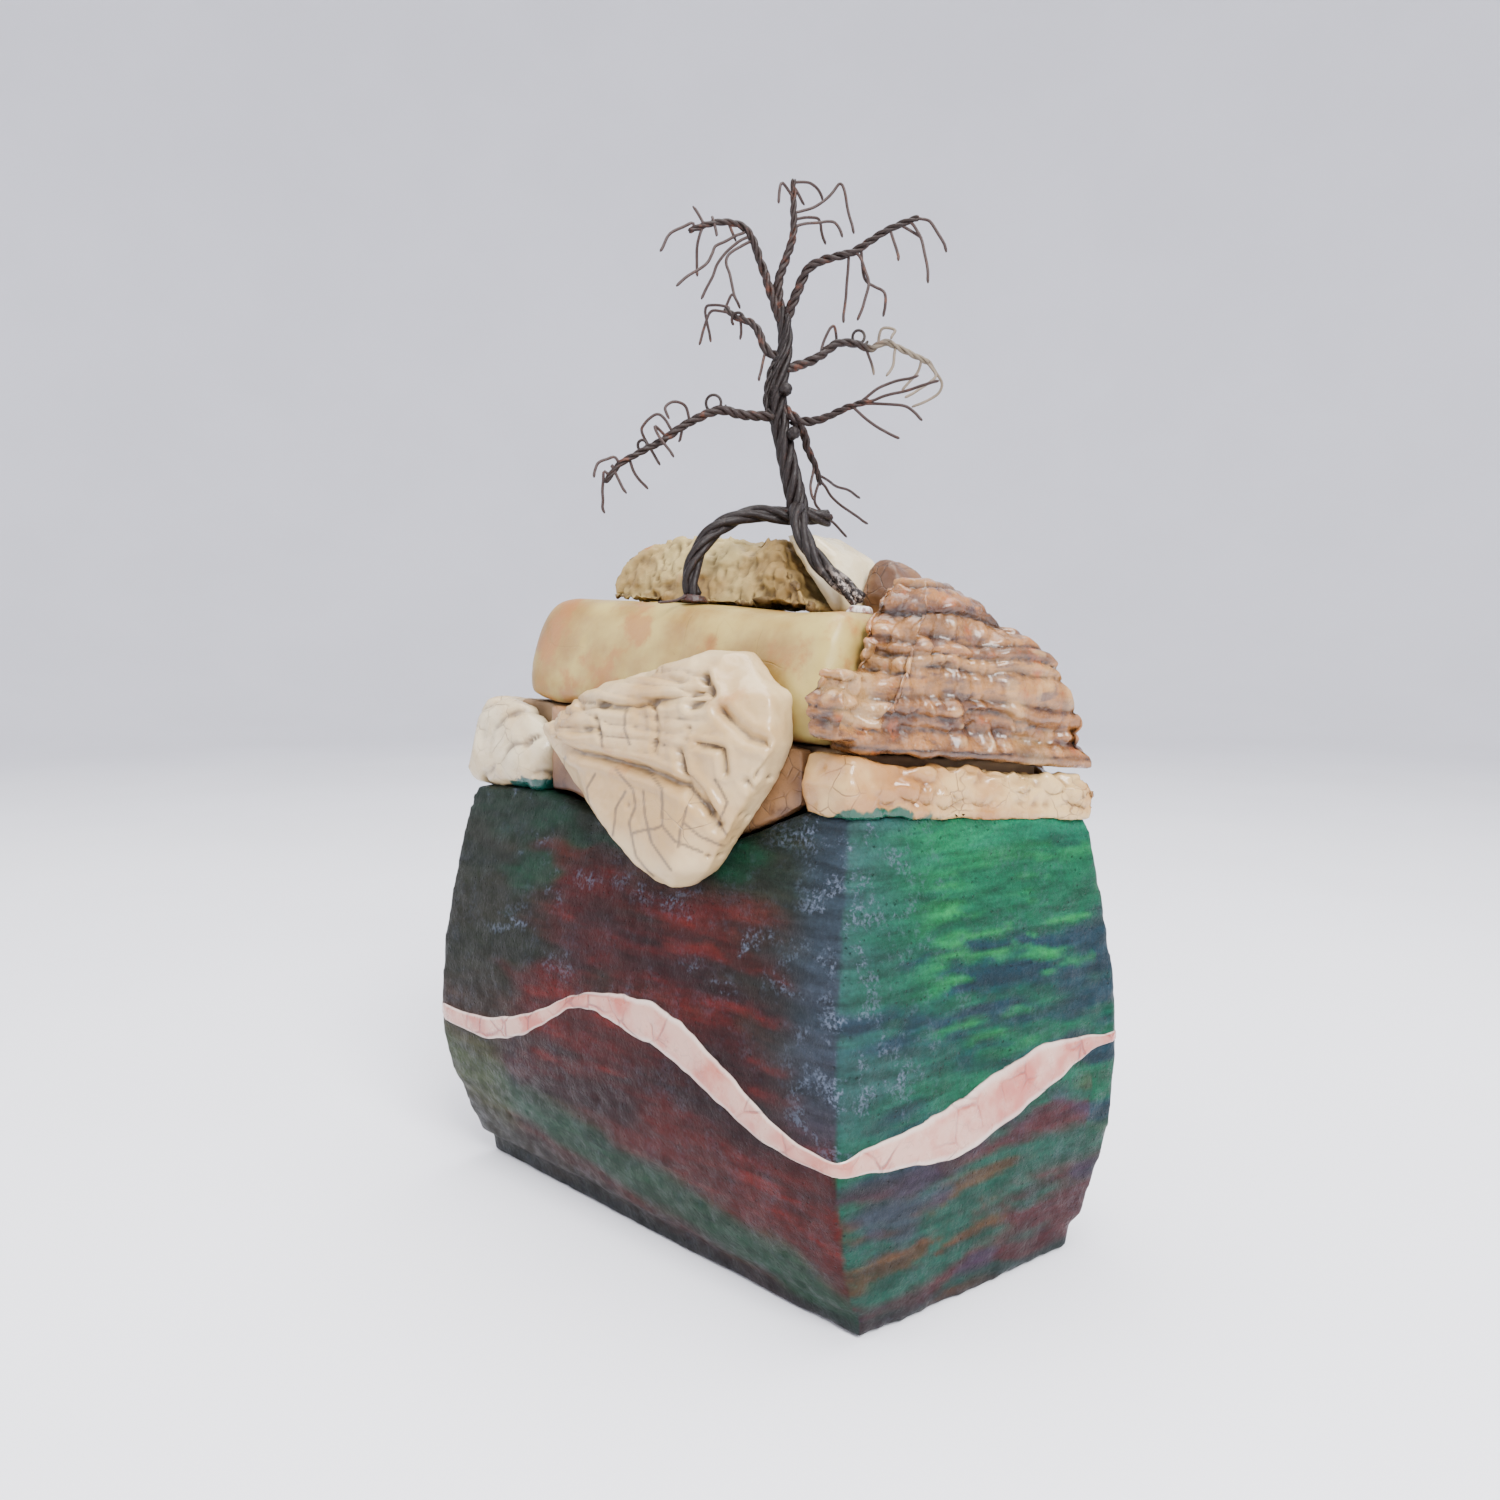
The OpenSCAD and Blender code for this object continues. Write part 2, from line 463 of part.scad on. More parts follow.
box_floor();
box_walls();
crackle_band();
rim_rock_left();
rim_slab_right();
rim_rock_rear_left();
rim_rock_rear_right();
lid_slab();
lid_tongue();
lid_flange();
front_rock();
back_rock();
cap_stone();
rear_boulder();
strata_rock();
strata_lobe();
trunk();
binding_wire();
trunk_knots();
side_strand();
root(root_left_path);  // root_left
root(root_right_path);  // root_right
root(root_rear_path);  // root_rear
root_glue();
loose_wire();
branch(0);  // branch_1
branch(1);  // branch_2
branch(2);  // branch_3
branch(3);  // branch_4
branch(4);  // branch_5
branch(5);  // branch_6
branch(6);  // branch_7
branch(7);  // branch_8
twigs(0);  // twigs_1
twigs(1);  // twigs_2
twigs(2);  // twigs_3
twigs(3);  // twigs_4
twigs(4);  // twigs_5
twigs(5);  // twigs_6
twigs(6);  // twigs_7
twigs(7);  // twigs_8
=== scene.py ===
"""Looks of the raku box with a wire tree: detailed clay, glaze and wire round the CAD frame."""
import math

import bmesh
import bpy
import numpy as np
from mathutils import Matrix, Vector
from mathutils.bvhtree import BVHTree


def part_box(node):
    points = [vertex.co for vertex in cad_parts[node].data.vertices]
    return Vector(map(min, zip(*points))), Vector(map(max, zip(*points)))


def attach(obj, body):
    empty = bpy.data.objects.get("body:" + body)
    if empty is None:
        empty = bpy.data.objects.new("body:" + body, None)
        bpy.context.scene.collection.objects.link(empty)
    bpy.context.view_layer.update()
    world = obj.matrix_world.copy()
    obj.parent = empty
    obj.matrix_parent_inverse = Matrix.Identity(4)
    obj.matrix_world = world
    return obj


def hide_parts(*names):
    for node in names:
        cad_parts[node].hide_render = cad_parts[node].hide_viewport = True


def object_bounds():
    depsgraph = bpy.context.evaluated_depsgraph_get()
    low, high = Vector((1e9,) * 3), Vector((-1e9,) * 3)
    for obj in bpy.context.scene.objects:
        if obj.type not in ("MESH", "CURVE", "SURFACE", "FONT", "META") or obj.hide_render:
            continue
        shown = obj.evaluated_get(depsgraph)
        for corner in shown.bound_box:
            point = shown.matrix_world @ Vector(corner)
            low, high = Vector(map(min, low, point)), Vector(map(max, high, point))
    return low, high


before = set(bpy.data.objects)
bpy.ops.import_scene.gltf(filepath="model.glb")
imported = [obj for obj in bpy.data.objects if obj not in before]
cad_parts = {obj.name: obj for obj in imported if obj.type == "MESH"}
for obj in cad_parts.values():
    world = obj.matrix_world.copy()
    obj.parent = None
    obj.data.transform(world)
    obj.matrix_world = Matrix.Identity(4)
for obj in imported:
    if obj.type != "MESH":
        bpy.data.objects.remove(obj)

MM = 0.001
cad_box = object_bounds()


# ---------- noise, on arrays of points in millimetres ----------

def lattice(cell, seed):
    """Random numbers from 0 to 1, one for each whole-numbered cell."""
    h = (cell[..., 0] * 73856093) ^ (cell[..., 1] * 19349663) ^ (cell[..., 2] * 83492791)
    h = (h ^ (seed * 2654435761)) & 0xFFFFFFFF
    h = ((h ^ (h >> 15)) * 2246822519) & 0xFFFFFFFF
    h = ((h ^ (h >> 13)) * 3266489917) & 0xFFFFFFFF
    return ((h ^ (h >> 16)) & 0xFFFFFF) / float(0xFFFFFF)


def noise(p, size, seed=0):
    """Smooth noise from -1 to 1 with features about size across; size may differ by axis."""
    q = p / np.asarray(size, float) + 17.3
    base = np.floor(q).astype(np.int64)
    f = q - base
    f = f * f * f * (f * (f * 6 - 15) + 10)
    total = np.zeros(len(p))
    for dx in (0, 1):
        for dy in (0, 1):
            for dz in (0, 1):
                weight = (np.where(dx, f[:, 0], 1 - f[:, 0]) * np.where(dy, f[:, 1], 1 - f[:, 1])
                          * np.where(dz, f[:, 2], 1 - f[:, 2]))
                total += weight * lattice(base + np.array([dx, dy, dz]), seed)
    return total * 2 - 1


def layered(p, size, octaves=4, seed=0, gain=0.5):
    """Several octaves of noise, each half the size of the one before."""
    total = np.zeros(len(p))
    scale = 0.0
    for k in range(octaves):
        total += gain ** k * noise(p, np.asarray(size, float) / 2 ** k, seed + k)
        scale += gain ** k
    return total / scale


def cells(p, size, seed=0):
    """Nearest and second nearest distances, in cells, to random points, and the cell's number."""
    q = p / np.asarray(size, float) + 9.1
    base = np.floor(q).astype(np.int64)
    first = np.full(len(p), 9.0)
    second = np.full(len(p), 9.0)
    number = np.zeros(len(p))
    for dx in (-1, 0, 1):
        for dy in (-1, 0, 1):
            for dz in (-1, 0, 1):
                cell = base + np.array([dx, dy, dz])
                centre = cell + np.stack([lattice(cell, seed + k) for k in (1, 2, 3)], 1)
                d = np.linalg.norm(q - centre, axis=1)
                closer = d < first
                second = np.where(closer, first, np.minimum(second, d))
                number = np.where(closer, lattice(cell, seed + 4), number)
                first = np.where(closer, d, first)
    return first, second, number


def ease(x, low, high):
    """0 below low, 1 above high, smooth between."""
    t = np.clip((x - low) / (high - low), 0, 1)
    return t * t * (3 - 2 * t)


def line_distance(a, b, points):
    """Distance in a plane from the places (a, b) to a broken line."""
    best = np.full(len(a), 1e9)
    for (x0, y0), (x1, y1) in zip(points[:-1], points[1:]):
        dx, dy = x1 - x0, y1 - y0
        t = np.clip(((a - x0) * dx + (b - y0) * dy) / (dx * dx + dy * dy), 0, 1)
        best = np.minimum(best, np.hypot(a - x0 - t * dx, b - y0 - t * dy))
    return best


# ---------- meshes ----------

def new_object(name, points, faces, smooth=True):
    """A mesh object from points in millimetres."""
    mesh = bpy.data.meshes.new(name)
    mesh.from_pydata((np.asarray(points) * MM).tolist(), [], faces)
    mesh.update()
    obj = bpy.data.objects.new(name, mesh)
    bpy.context.collection.objects.link(obj)
    if smooth:
        mesh.shade_smooth()
    return obj


def read_points(obj):
    p = np.empty(len(obj.data.vertices) * 3)
    obj.data.vertices.foreach_get("co", p)
    return p.reshape(-1, 3) / MM


def write_points(obj, p):
    obj.data.vertices.foreach_set("co", (p * MM).ravel())
    obj.data.update()


def read_normals(obj):
    n = np.empty(len(obj.data.vertices) * 3)
    obj.data.vertex_normals.foreach_get("vector", n)
    return n.reshape(-1, 3)


def relax(obj, rounds, weight=0.5):
    """Smooths a mesh by moving each point towards the middle of its neighbours."""
    edges = np.empty(len(obj.data.edges) * 2, int)
    obj.data.edges.foreach_get("vertices", edges)
    a, b = edges.reshape(-1, 2).T
    p = read_points(obj)
    count = np.bincount(np.concatenate([a, b]), minlength=len(p)).astype(float)
    for _ in range(rounds):
        mean = np.zeros_like(p)
        for k in range(3):
            mean[:, k] = (np.bincount(a, p[b, k], len(p)) + np.bincount(b, p[a, k], len(p))) / count
        p += weight * (mean - p)
    write_points(obj, p)


def clay_from(name, nodes, voxel, rounds, grow=0.0):
    """One closed skin of even quads over CAD nodes, with its edges softened."""
    points, faces = [], []
    for node in nodes:
        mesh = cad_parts[node].data
        first = len(points)
        points += [v.co / MM for v in mesh.vertices]
        faces += [[first + i for i in f.vertices] for f in mesh.polygons]
    obj = new_object(name, points, faces, smooth=False)
    weld = obj.modifiers.new("weld", "WELD")
    weld.merge_threshold = 0.01 * MM
    remesh = obj.modifiers.new("remesh", "REMESH")
    remesh.mode = "VOXEL"
    remesh.voxel_size = voxel * MM
    bake_modifiers(obj)
    relax(obj, rounds)
    if grow:
        write_points(obj, read_points(obj) + grow * read_normals(obj))
    obj.data.shade_smooth()
    return obj


def bake_modifiers(obj):
    """Turns the object's modifiers into its mesh."""
    graph = bpy.context.evaluated_depsgraph_get()
    mesh = bpy.data.meshes.new_from_object(obj.evaluated_get(graph))
    obj.modifiers.clear()
    old = obj.data
    obj.data = mesh
    bpy.data.meshes.remove(old)


def push(obj, distance):
    """Moves each point along its normal by its own distance."""
    write_points(obj, read_points(obj) + distance[:, None] * read_normals(obj))


def store(obj, name, values):
    """Keeps one number per point for the material."""
    attribute = obj.data.attributes.new(name, "FLOAT", "POINT")
    attribute.data.foreach_set("value", values.astype(np.float32))


def store_colour(obj, name, colour):
    attribute = obj.data.attributes.new(name, "FLOAT_COLOR", "POINT")
    rgba = np.concatenate([colour, np.ones((len(colour), 1))], 1)
    attribute.data.foreach_set("color", rgba.astype(np.float32).ravel())


def tint(*rgb):
    """A material colour given as 0 to 255 screen values, deepened for the bright studio."""
    return 0.82 * linear(*rgb) ** 1.3


def linear(*rgb):
    """A colour given as 0 to 255 screen values."""
    c = np.array(rgb) / 255
    return np.where(c <= 0.04045, c / 12.92, ((c + 0.055) / 1.055) ** 2.4)


def blend(a, b, mask):
    """Colour a where the mask is 0, colour b where it is 1."""
    m = np.clip(mask, 0, 1)[:, None]
    return a * (1 - m) + b * m


# ---------- materials ----------

class Shader:
    """A small builder for one procedural material. Sizes are in millimetres."""

    def __init__(self, name):
        self.material = bpy.data.materials.new(name)
        self.material.use_nodes = True
        self.nodes = self.material.node_tree.nodes
        self.links = self.material.node_tree.links
        self.surface = self.nodes["Principled BSDF"]
        coordinate = self.nodes.new("ShaderNodeTexCoord")
        scale = self.nodes.new("ShaderNodeVectorMath")
        scale.operation = "SCALE"
        scale.inputs["Scale"].default_value = 1 / MM
        self.links.new(coordinate.outputs["Object"], scale.inputs[0])
        self.place = scale.outputs[0]

    def put(self, socket, value):
        if isinstance(value, bpy.types.NodeSocket):
            self.links.new(value, socket)
        elif isinstance(value, (tuple, list, np.ndarray)) and socket.type == "RGBA":
            socket.default_value = (*value, 1.0)
        else:
            socket.default_value = value

    def warped(self, amount, size):
        """Places shifted by noise, for lines that wander."""
        texture = self.nodes.new("ShaderNodeTexNoise")
        texture.inputs["Scale"].default_value = 1 / size
        texture.inputs["Detail"].default_value = 3
        self.links.new(self.place, texture.inputs["Vector"])
        shift = self.nodes.new("ShaderNodeVectorMath")
        shift.operation = "MULTIPLY_ADD"
        self.links.new(texture.outputs["Color"], shift.inputs[0])
        shift.inputs[1].default_value = (amount,) * 3
        self.links.new(self.place, shift.inputs[2])
        return shift.outputs[0]

    def stretched(self, factors, place=None):
        multiply = self.nodes.new("ShaderNodeVectorMath")
        multiply.operation = "MULTIPLY"
        self.links.new(place or self.place, multiply.inputs[0])
        multiply.inputs[1].default_value = factors
        return multiply.outputs[0]

    def noise(self, size, detail=4, rough=0.55, place=None):
        texture = self.nodes.new("ShaderNodeTexNoise")
        texture.inputs["Scale"].default_value = 1 / size
        texture.inputs["Detail"].default_value = detail
        texture.inputs["Roughness"].default_value = rough
        self.links.new(place or self.place, texture.inputs["Vector"])
        return texture.outputs["Fac"]

    def edge_distance(self, size, place=None):
        """Distance to the walls of random cells: 0 on a crackle line."""
        texture = self.nodes.new("ShaderNodeTexVoronoi")
        texture.feature = "DISTANCE_TO_EDGE"
        texture.inputs["Scale"].default_value = 1 / size
        self.links.new(place or self.place, texture.inputs["Vector"])
        return texture.outputs["Distance"]

    def spots(self, size, place=None):
        texture = self.nodes.new("ShaderNodeTexVoronoi")
        texture.inputs["Scale"].default_value = 1 / size
        self.links.new(place or self.place, texture.inputs["Vector"])
        return texture.outputs["Distance"]

    def attribute(self, name, colour=False):
        node = self.nodes.new("ShaderNodeAttribute")
        node.attribute_name = name
        return node.outputs["Color" if colour else "Fac"]

    def math(self, operation, a, b=0.0, clamp=False):
        node = self.nodes.new("ShaderNodeMath")
        node.operation = operation
        node.use_clamp = clamp
        self.put(node.inputs[0], a)
        self.put(node.inputs[1], b)
        return node.outputs[0]

    def fit(self, value, low, high, to_low=0.0, to_high=1.0):
        """Maps low..high to to_low..to_high, smooth and limited."""
        node = self.nodes.new("ShaderNodeMapRange")
        node.interpolation_type = "SMOOTHSTEP"
        for key, number in (("From Min", low), ("From Max", high), ("To Min", to_low),
                            ("To Max", to_high)):
            node.inputs[key].default_value = number
        self.put(node.inputs["Value"], value)
        return node.outputs["Result"]

    def mix(self, mask, a, b, how="MIX"):
        node = self.nodes.new("ShaderNodeMixRGB")
        node.blend_type = how
        self.put(node.inputs["Fac"], mask)
        self.put(node.inputs["Color1"], a)
        self.put(node.inputs["Color2"], b)
        return node.outputs["Color"]

    def crackle(self, size, width, wander=0.25, keep=0.55, seed_shift=0.0):
        """Mask of crackle lines about width wide; keep is the share of lines that show."""
        place = self.warped(wander * size, size * 1.4)
        if seed_shift:
            add = self.nodes.new("ShaderNodeVectorMath")
            self.links.new(place, add.inputs[0])
            add.inputs[1].default_value = (seed_shift,) * 3
            place = add.outputs[0]
        line = self.fit(self.edge_distance(size, place), 0.0, width / size, 1.0, 0.0)
        shown = self.fit(self.noise(size * 2.5, 2), keep - 0.08, keep + 0.08, 1.0, 0.0)
        return self.math("MULTIPLY", line, shown)

    def bump(self, height, distance, normal=None, strength=1.0):
        node = self.nodes.new("ShaderNodeBump")
        node.inputs["Distance"].default_value = distance * MM
        node.inputs["Strength"].default_value = strength
        self.links.new(height, node.inputs["Height"])
        if normal:
            self.links.new(normal, node.inputs["Normal"])
        return node.outputs["Normal"]

    def finish(self, colour, roughness, normal=None, **constants):
        self.put(self.surface.inputs["Base Color"], colour)
        self.put(self.surface.inputs["Roughness"], roughness)
        if normal:
            self.links.new(normal, self.surface.inputs["Normal"])
        for key, value in constants.items():
            self.surface.inputs[key.replace("_", " ")].default_value = value
        return self.material


def crackled_clay(name, light, shade, line, cell, roughness, coat=0.0, line_share=0.5,
                  line_width=0.2, line_depth=0.6, stain=None, stain_share=0.62, grain=0.25,
                  blot=None, run=None):
    """Pale raku clay: cloudy colour, stains, fine grain and a broken network of crackle."""
    s = Shader(name)
    colour = s.mix(s.fit(s.noise(24, 4), 0.36, 0.64), shade, light)
    if stain is not None:
        patch = s.fit(s.noise(15, 5, 0.6), stain_share, stain_share + 0.12)
        colour = s.mix(s.math("MULTIPLY", patch, 0.7), colour, stain)
    if blot is not None:
        spot = s.fit(s.spots(19, s.warped(3.0, 5.0)), 0.06, 0.2, 1.0, 0.0)
        colour = s.mix(s.math("MULTIPLY", spot, 0.65), colour, blot)
    speck = s.fit(s.noise(0.9, 2), 0.68, 0.76)
    colour = s.mix(s.math("MULTIPLY", speck, 0.25), colour, line)
    # painted shade: the hollows are darkened towards the line colour
    colour = s.mix(s.math("MULTIPLY", s.attribute("hollow_shade"), 0.8), colour, line)
    wide = s.crackle(cell, line_width, 0.55, keep=line_share)
    fine = s.crackle(cell * 0.4, line_width * 0.5, 0.5, keep=line_share - 0.06, seed_shift=31.7)
    lines = s.math("MAXIMUM", s.math("MULTIPLY", wide, line_depth),
                   s.math("MULTIPLY", fine, line_depth * 0.5))
    lines = s.math("MAXIMUM", lines, s.math("MULTIPLY", s.attribute("vein"), 0.8))
    colour = s.mix(lines, colour, line)
    if run is not None:
        ragged = s.math("ADD", s.attribute("glaze_run"),
                        s.math("MULTIPLY", s.math("SUBTRACT", s.noise(2.5, 4), 0.5), 0.9))
        colour = s.mix(s.fit(ragged, 0.45, 0.75), colour, run)
    height = s.math("SUBTRACT", s.math("MULTIPLY", s.noise(1.4, 6, 0.62), grain),
                    s.math("MULTIPLY", wide, 0.3))
    rough = s.fit(s.noise(6, 3), 0.3, 0.7, roughness - 0.08, roughness + 0.1)
    return s.finish(colour, rough, s.bump(height, 0.5), Coat_Weight=coat, Coat_Roughness=0.12,
                    Specular_IOR_Level=0.3)


def body_glaze():
    """Painted raku glaze of the walls: satin, pitted and speckled over the painted colours."""
    s = Shader("body_glaze")
    colour = s.attribute("paint", colour=True)
    brush = s.noise(5.0, 5, 0.6, s.stretched((0.35, 0.35, 2.2)))
    mottled = s.mix(s.fit(brush, 0.3, 0.7), (0.5,) * 3, (1.2,) * 3)
    colour = s.mix(1.0, colour, mottled, "MULTIPLY")
    grainy = s.mix(s.fit(s.noise(1.1, 4, 0.65), 0.32, 0.68), (0.78,) * 3, (1.15,) * 3)
    colour = s.mix(1.0, colour, grainy, "MULTIPLY")
    patch = s.fit(s.noise(7, 5, 0.7), 0.5, 0.6)
    grain = s.fit(s.noise(0.9, 3, 0.6), 0.42, 0.6)
    flecks = s.math("MULTIPLY", s.math("MULTIPLY", patch, grain), s.attribute("fleck"))
    colour = s.mix(s.math("MULTIPLY", flecks, 0.75), colour, tint(118, 128, 144))
    holes = s.fit(s.spots(2.2, s.warped(1.0, 3.0)), 0.0, 0.2, 1.0, 0.0)
    colour = s.mix(s.math("MULTIPLY", holes, 0.5), colour, tint(16, 17, 18))
    height = s.math("ADD", s.math("MULTIPLY", s.noise(1.2, 6, 0.65), 0.7),
                    s.math("MULTIPLY", flecks, 0.4))
    height = s.math("SUBTRACT", height, s.math("MULTIPLY", holes, 0.5))
    rough = s.fit(s.noise(4, 4), 0.3, 0.7, 0.34, 0.62)
    return s.finish(colour, rough, s.bump(height, 0.6), Specular_IOR_Level=0.14)


def band_glaze():
    """Pinkish white crackle glaze of the band, with red iron in a few long cracks."""
    s = Shader("band_glaze")
    colour = s.mix(s.fit(s.noise(11, 4), 0.36, 0.6), tint(194, 122, 104), tint(208, 170, 154))
    blush = s.fit(s.noise(16, 3), 0.48, 0.64)
    colour = s.mix(s.math("MULTIPLY", blush, 0.6), colour, tint(190, 100, 84))
    red = s.crackle(9.0, 0.5, 0.5, keep=0.5)
    grey = s.crackle(2.4, 0.16, 0.4, keep=0.42, seed_shift=12.0)
    colour = s.mix(s.math("MULTIPLY", red, 0.75), colour, tint(158, 58, 48))
    colour = s.mix(s.math("MULTIPLY", grey, 0.35), colour, tint(140, 110, 104))
    rim = s.attribute("rim")
    colour = s.mix(s.fit(rim, 0.6, 0.86, 0.0, 0.5), colour, tint(226, 222, 214))
    colour = s.mix(s.fit(rim, 0.88, 0.96, 0.0, 0.9), colour, tint(48, 38, 36))
    height = s.math("SUBTRACT", s.math("MULTIPLY", s.noise(1.8, 4), 0.4), red)
    return s.finish(colour, s.fit(s.noise(4, 2), 0.3, 0.7, 0.24, 0.42), s.bump(height, 0.3),
                    Coat_Weight=0.4, Coat_Roughness=0.12)


def layered_glaze():
    """Glossy brown glaze over layered clay: violet greys and ochre, with a painted highlight in cream on the
    ridges and painted shade in the joints.
    """
    s = Shader("layered_glaze")
    ridge = s.attribute("ridge")
    colour = s.mix(s.fit(s.noise(8, 4, 0.6, s.stretched((0.6, 0.6, 2.0))), 0.36, 0.62),
                   tint(112, 76, 50), tint(172, 126, 80))
    colour = s.mix(s.fit(s.attribute("tone"), 0.2, 0.9, 0.0, 0.55), colour, tint(190, 152, 104))
    violet = s.fit(s.noise(7, 5, 0.6, s.stretched((0.8, 0.8, 2.4))), 0.52, 0.64)
    colour = s.mix(s.math("MULTIPLY", violet, 0.7), colour, tint(98, 80, 80))
    orange = s.fit(s.noise(10, 4, 0.6, s.stretched((1.3, 1.3, 1.0))), 0.56, 0.68)
    colour = s.mix(s.math("MULTIPLY", orange, 0.65), colour, tint(170, 98, 44))
    # painted highlight along the rounded layer edges
    colour = s.mix(s.fit(ridge, 0.7, 1.0, 0.0, 0.4), colour, tint(206, 174, 130))
    # painted shade in the joints between layers
    colour = s.mix(s.fit(ridge, 0.05, 0.6, 0.92, 0.0), colour, tint(52, 32, 24))
    colour = s.mix(s.math("MULTIPLY", s.attribute("pale"), 0.5), colour, tint(204, 172, 126))
    speck = s.fit(s.noise(1.0, 2), 0.66, 0.74)
    colour = s.mix(s.math("MULTIPLY", speck, 0.4), colour, tint(84, 54, 44))
    height = s.noise(1.6, 5, 0.6)
    return s.finish(colour, s.fit(s.noise(2.5, 3), 0.3, 0.7, 0.12, 0.36), s.bump(height, 0.5),
                    Coat_Weight=0.45, Coat_Roughness=0.08, Specular_IOR_Level=0.35)


def iron_wire(name, dark, rust, rust_share, roughness):
    """Annealed iron wire: near black scale with rust coming through."""
    s = Shader(name)
    patch = s.fit(s.noise(3.5, 5, 0.65), rust_share, rust_share + 0.16)
    colour = s.mix(patch, dark, rust)
    colour = s.mix(s.fit(s.noise(0.5, 2), 0.55, 0.75, 0.0, 0.3), colour, tint(120, 104, 96))
    solder = s.attribute("solder")
    colour = s.mix(solder, colour, tint(168, 156, 138))
    dust = s.attribute("dust")
    flaky = s.math("MULTIPLY", dust, s.fit(s.noise(1.6, 5, 0.7), 0.48, 0.56))
    colour = s.mix(flaky, colour, tint(196, 184, 176))
    height = s.noise(0.45, 4, 0.6)
    return s.finish(colour, s.fit(s.noise(1.2, 3), 0.3, 0.7, roughness - 0.1, roughness + 0.15),
                    s.bump(height, 0.12), Specular_IOR_Level=0.25)


def glue_resin():
    """Dried white glue, flaky and a little dirty."""
    s = Shader("glue_resin")
    colour = s.mix(s.fit(s.noise(1.5, 4), 0.4, 0.62), tint(150, 120, 112), tint(226, 218, 212))
    colour = s.mix(s.attribute("smoked"), colour, tint(70, 42, 32))
    return s.finish(colour, 0.45, s.bump(s.noise(0.8, 4), 0.3), Subsurface_Weight=0.1)


# ---------- clay pieces ----------

def lump(obj, size, height, seed, octaves=3, inward=True):
    """Broad unevenness; with inward it only dents, so the piece stays in its CAD size."""
    d = layered(read_points(obj), size, octaves, seed) * height
    push(obj, np.minimum(d, 0) * 1.6 if inward else d)


def pits(obj, size, depth, share, seed):
    """Round pits and pin holes, on the given share of the random cells."""
    first, _, number = cells(read_points(obj), size, seed)
    push(obj, np.where(number < share, -depth * (1 - ease(first, 0.05, 0.32)), 0))


def hollow_shade_from(obj, depth_scale=1.2):
    """Marks hollows for painted shade, by how far each point sinks in its ring."""
    before = read_points(obj)
    normals = read_normals(obj)
    relax(obj, 10)
    sunk = np.einsum("ij,ij->i", read_points(obj) - before, normals)
    write_points(obj, before)
    # painted shade in the hollows, stronger where a point sinks deeper
    store(obj, "hollow_shade", ease(sunk, 0.05, 0.05 + depth_scale * 0.5))


def body():
    obj = clay_from("glazed_body", ["box_walls", "box_floor"], 1.2, 10)
    lump(obj, 46, 1.1, 3)
    lump(obj, 12, 0.4, 8)
    pits(obj, 6, 0.5, 0.3, 12)
    lump(obj, 3.5, 0.22, 13)
    paint_body(obj)
    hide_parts("box_walls", "box_floor")
    return obj


def paint_body(obj):
    """Brushed glaze colours of the walls, and the smoked bare clay inside."""
    p = read_points(obj)
    n = read_normals(obj)
    x, y, z = p.T
    flow = p + 5 * np.stack([layered(p, 26, 3, k) for k in (21, 22, 23)], 1)
    streak = layered(flow, (46, 46, 8), 4, 31)
    fine = layered(flow, (26, 26, 3.2), 4, 35)
    right = ease(n[:, 0] + 0.15 * n[:, 1] + 0.1 * fine, 0.2, 0.5)
    rear = ease(n[:, 1], 0.3, 0.6)
    colour = paint_front(flow, streak, fine)
    colour = blend(colour, paint_right(flow, streak, fine), np.maximum(right, rear))
    edge = (1 - ease(np.abs(x - 63 + 0.11 * np.maximum(z - 48, 0) + 4 * fine), 2, 13)) * (y < 0)
    edge = edge * ease(z, 40, 58)
    colour = blend(colour, tint(66, 80, 94), 0.6 * edge)
    colour = blend(colour, tint(46, 52, 54), 0.8 * (1 - ease(z + 4 * fine, 2, 7)))
    under_rim = ease(z, 104, 112) * right * ease(x, 64, 70)
    colour = blend(colour, tint(16, 122, 94), 0.6 * under_rim)
    flaked = ease(layered(p, (22, 22, 9), 3, 51), 0.12, 0.4) * ease(z, 60, 80) * (1 - right)
    store(obj, "fleck", np.clip(0.9 * edge + 0.7 * flaked + 0.12, 0, 1))
    store_colour(obj, "paint", blend(colour, tint(74, 62, 54), inner_points(p, n)))


def paint_front(flow, streak, fine):
    """Front and left walls: oxblood between bottle green and smoked umber."""
    x, _, z = flow.T
    colour = np.tile(tint(84, 28, 26), (len(x), 1))
    colour = blend(colour, tint(58, 26, 30), ease(streak, -0.1, 0.4))
    colour = blend(colour, tint(108, 36, 30), 0.8 * ease(-fine - 0.3 * streak, 0.15, 0.5))
    left = ease(-x + 22 * streak, 28, 50)
    colour = blend(colour, tint(42, 50, 38), 0.92 * left * ease(z, 38, 62))
    upper = ease(z + 0.12 * x + 14 * streak, 84, 102)
    colour = blend(colour, tint(38, 58, 46), 0.9 * upper)
    patch = ease(layered(flow, (34, 34, 12), 3, 38), 0.16, 0.42) * ease(z, 62, 80)
    colour = blend(colour, tint(28, 72, 54), 0.8 * patch)
    near_edge = ease(x + 10 * fine, 38, 56) * ease(z, 46, 60)
    colour = blend(colour, tint(52, 64, 66), 0.75 * near_edge)
    diagonal = z + 0.2 * x
    stripe = 1 - ease(np.abs(diagonal - 19 + 3 * fine), 3, 11)
    colour = blend(colour, tint(24, 78, 58), 0.85 * stripe)
    dip = (1 - ease(np.abs(x + 72), 8, 24)) * (1 - ease(z, 40, 52))
    colour = blend(colour, tint(70, 78, 40), 0.8 * dip)
    return blend(colour, tint(58, 56, 50), 0.85 * (1 - ease(diagonal + 4 * fine, 2, 12)))


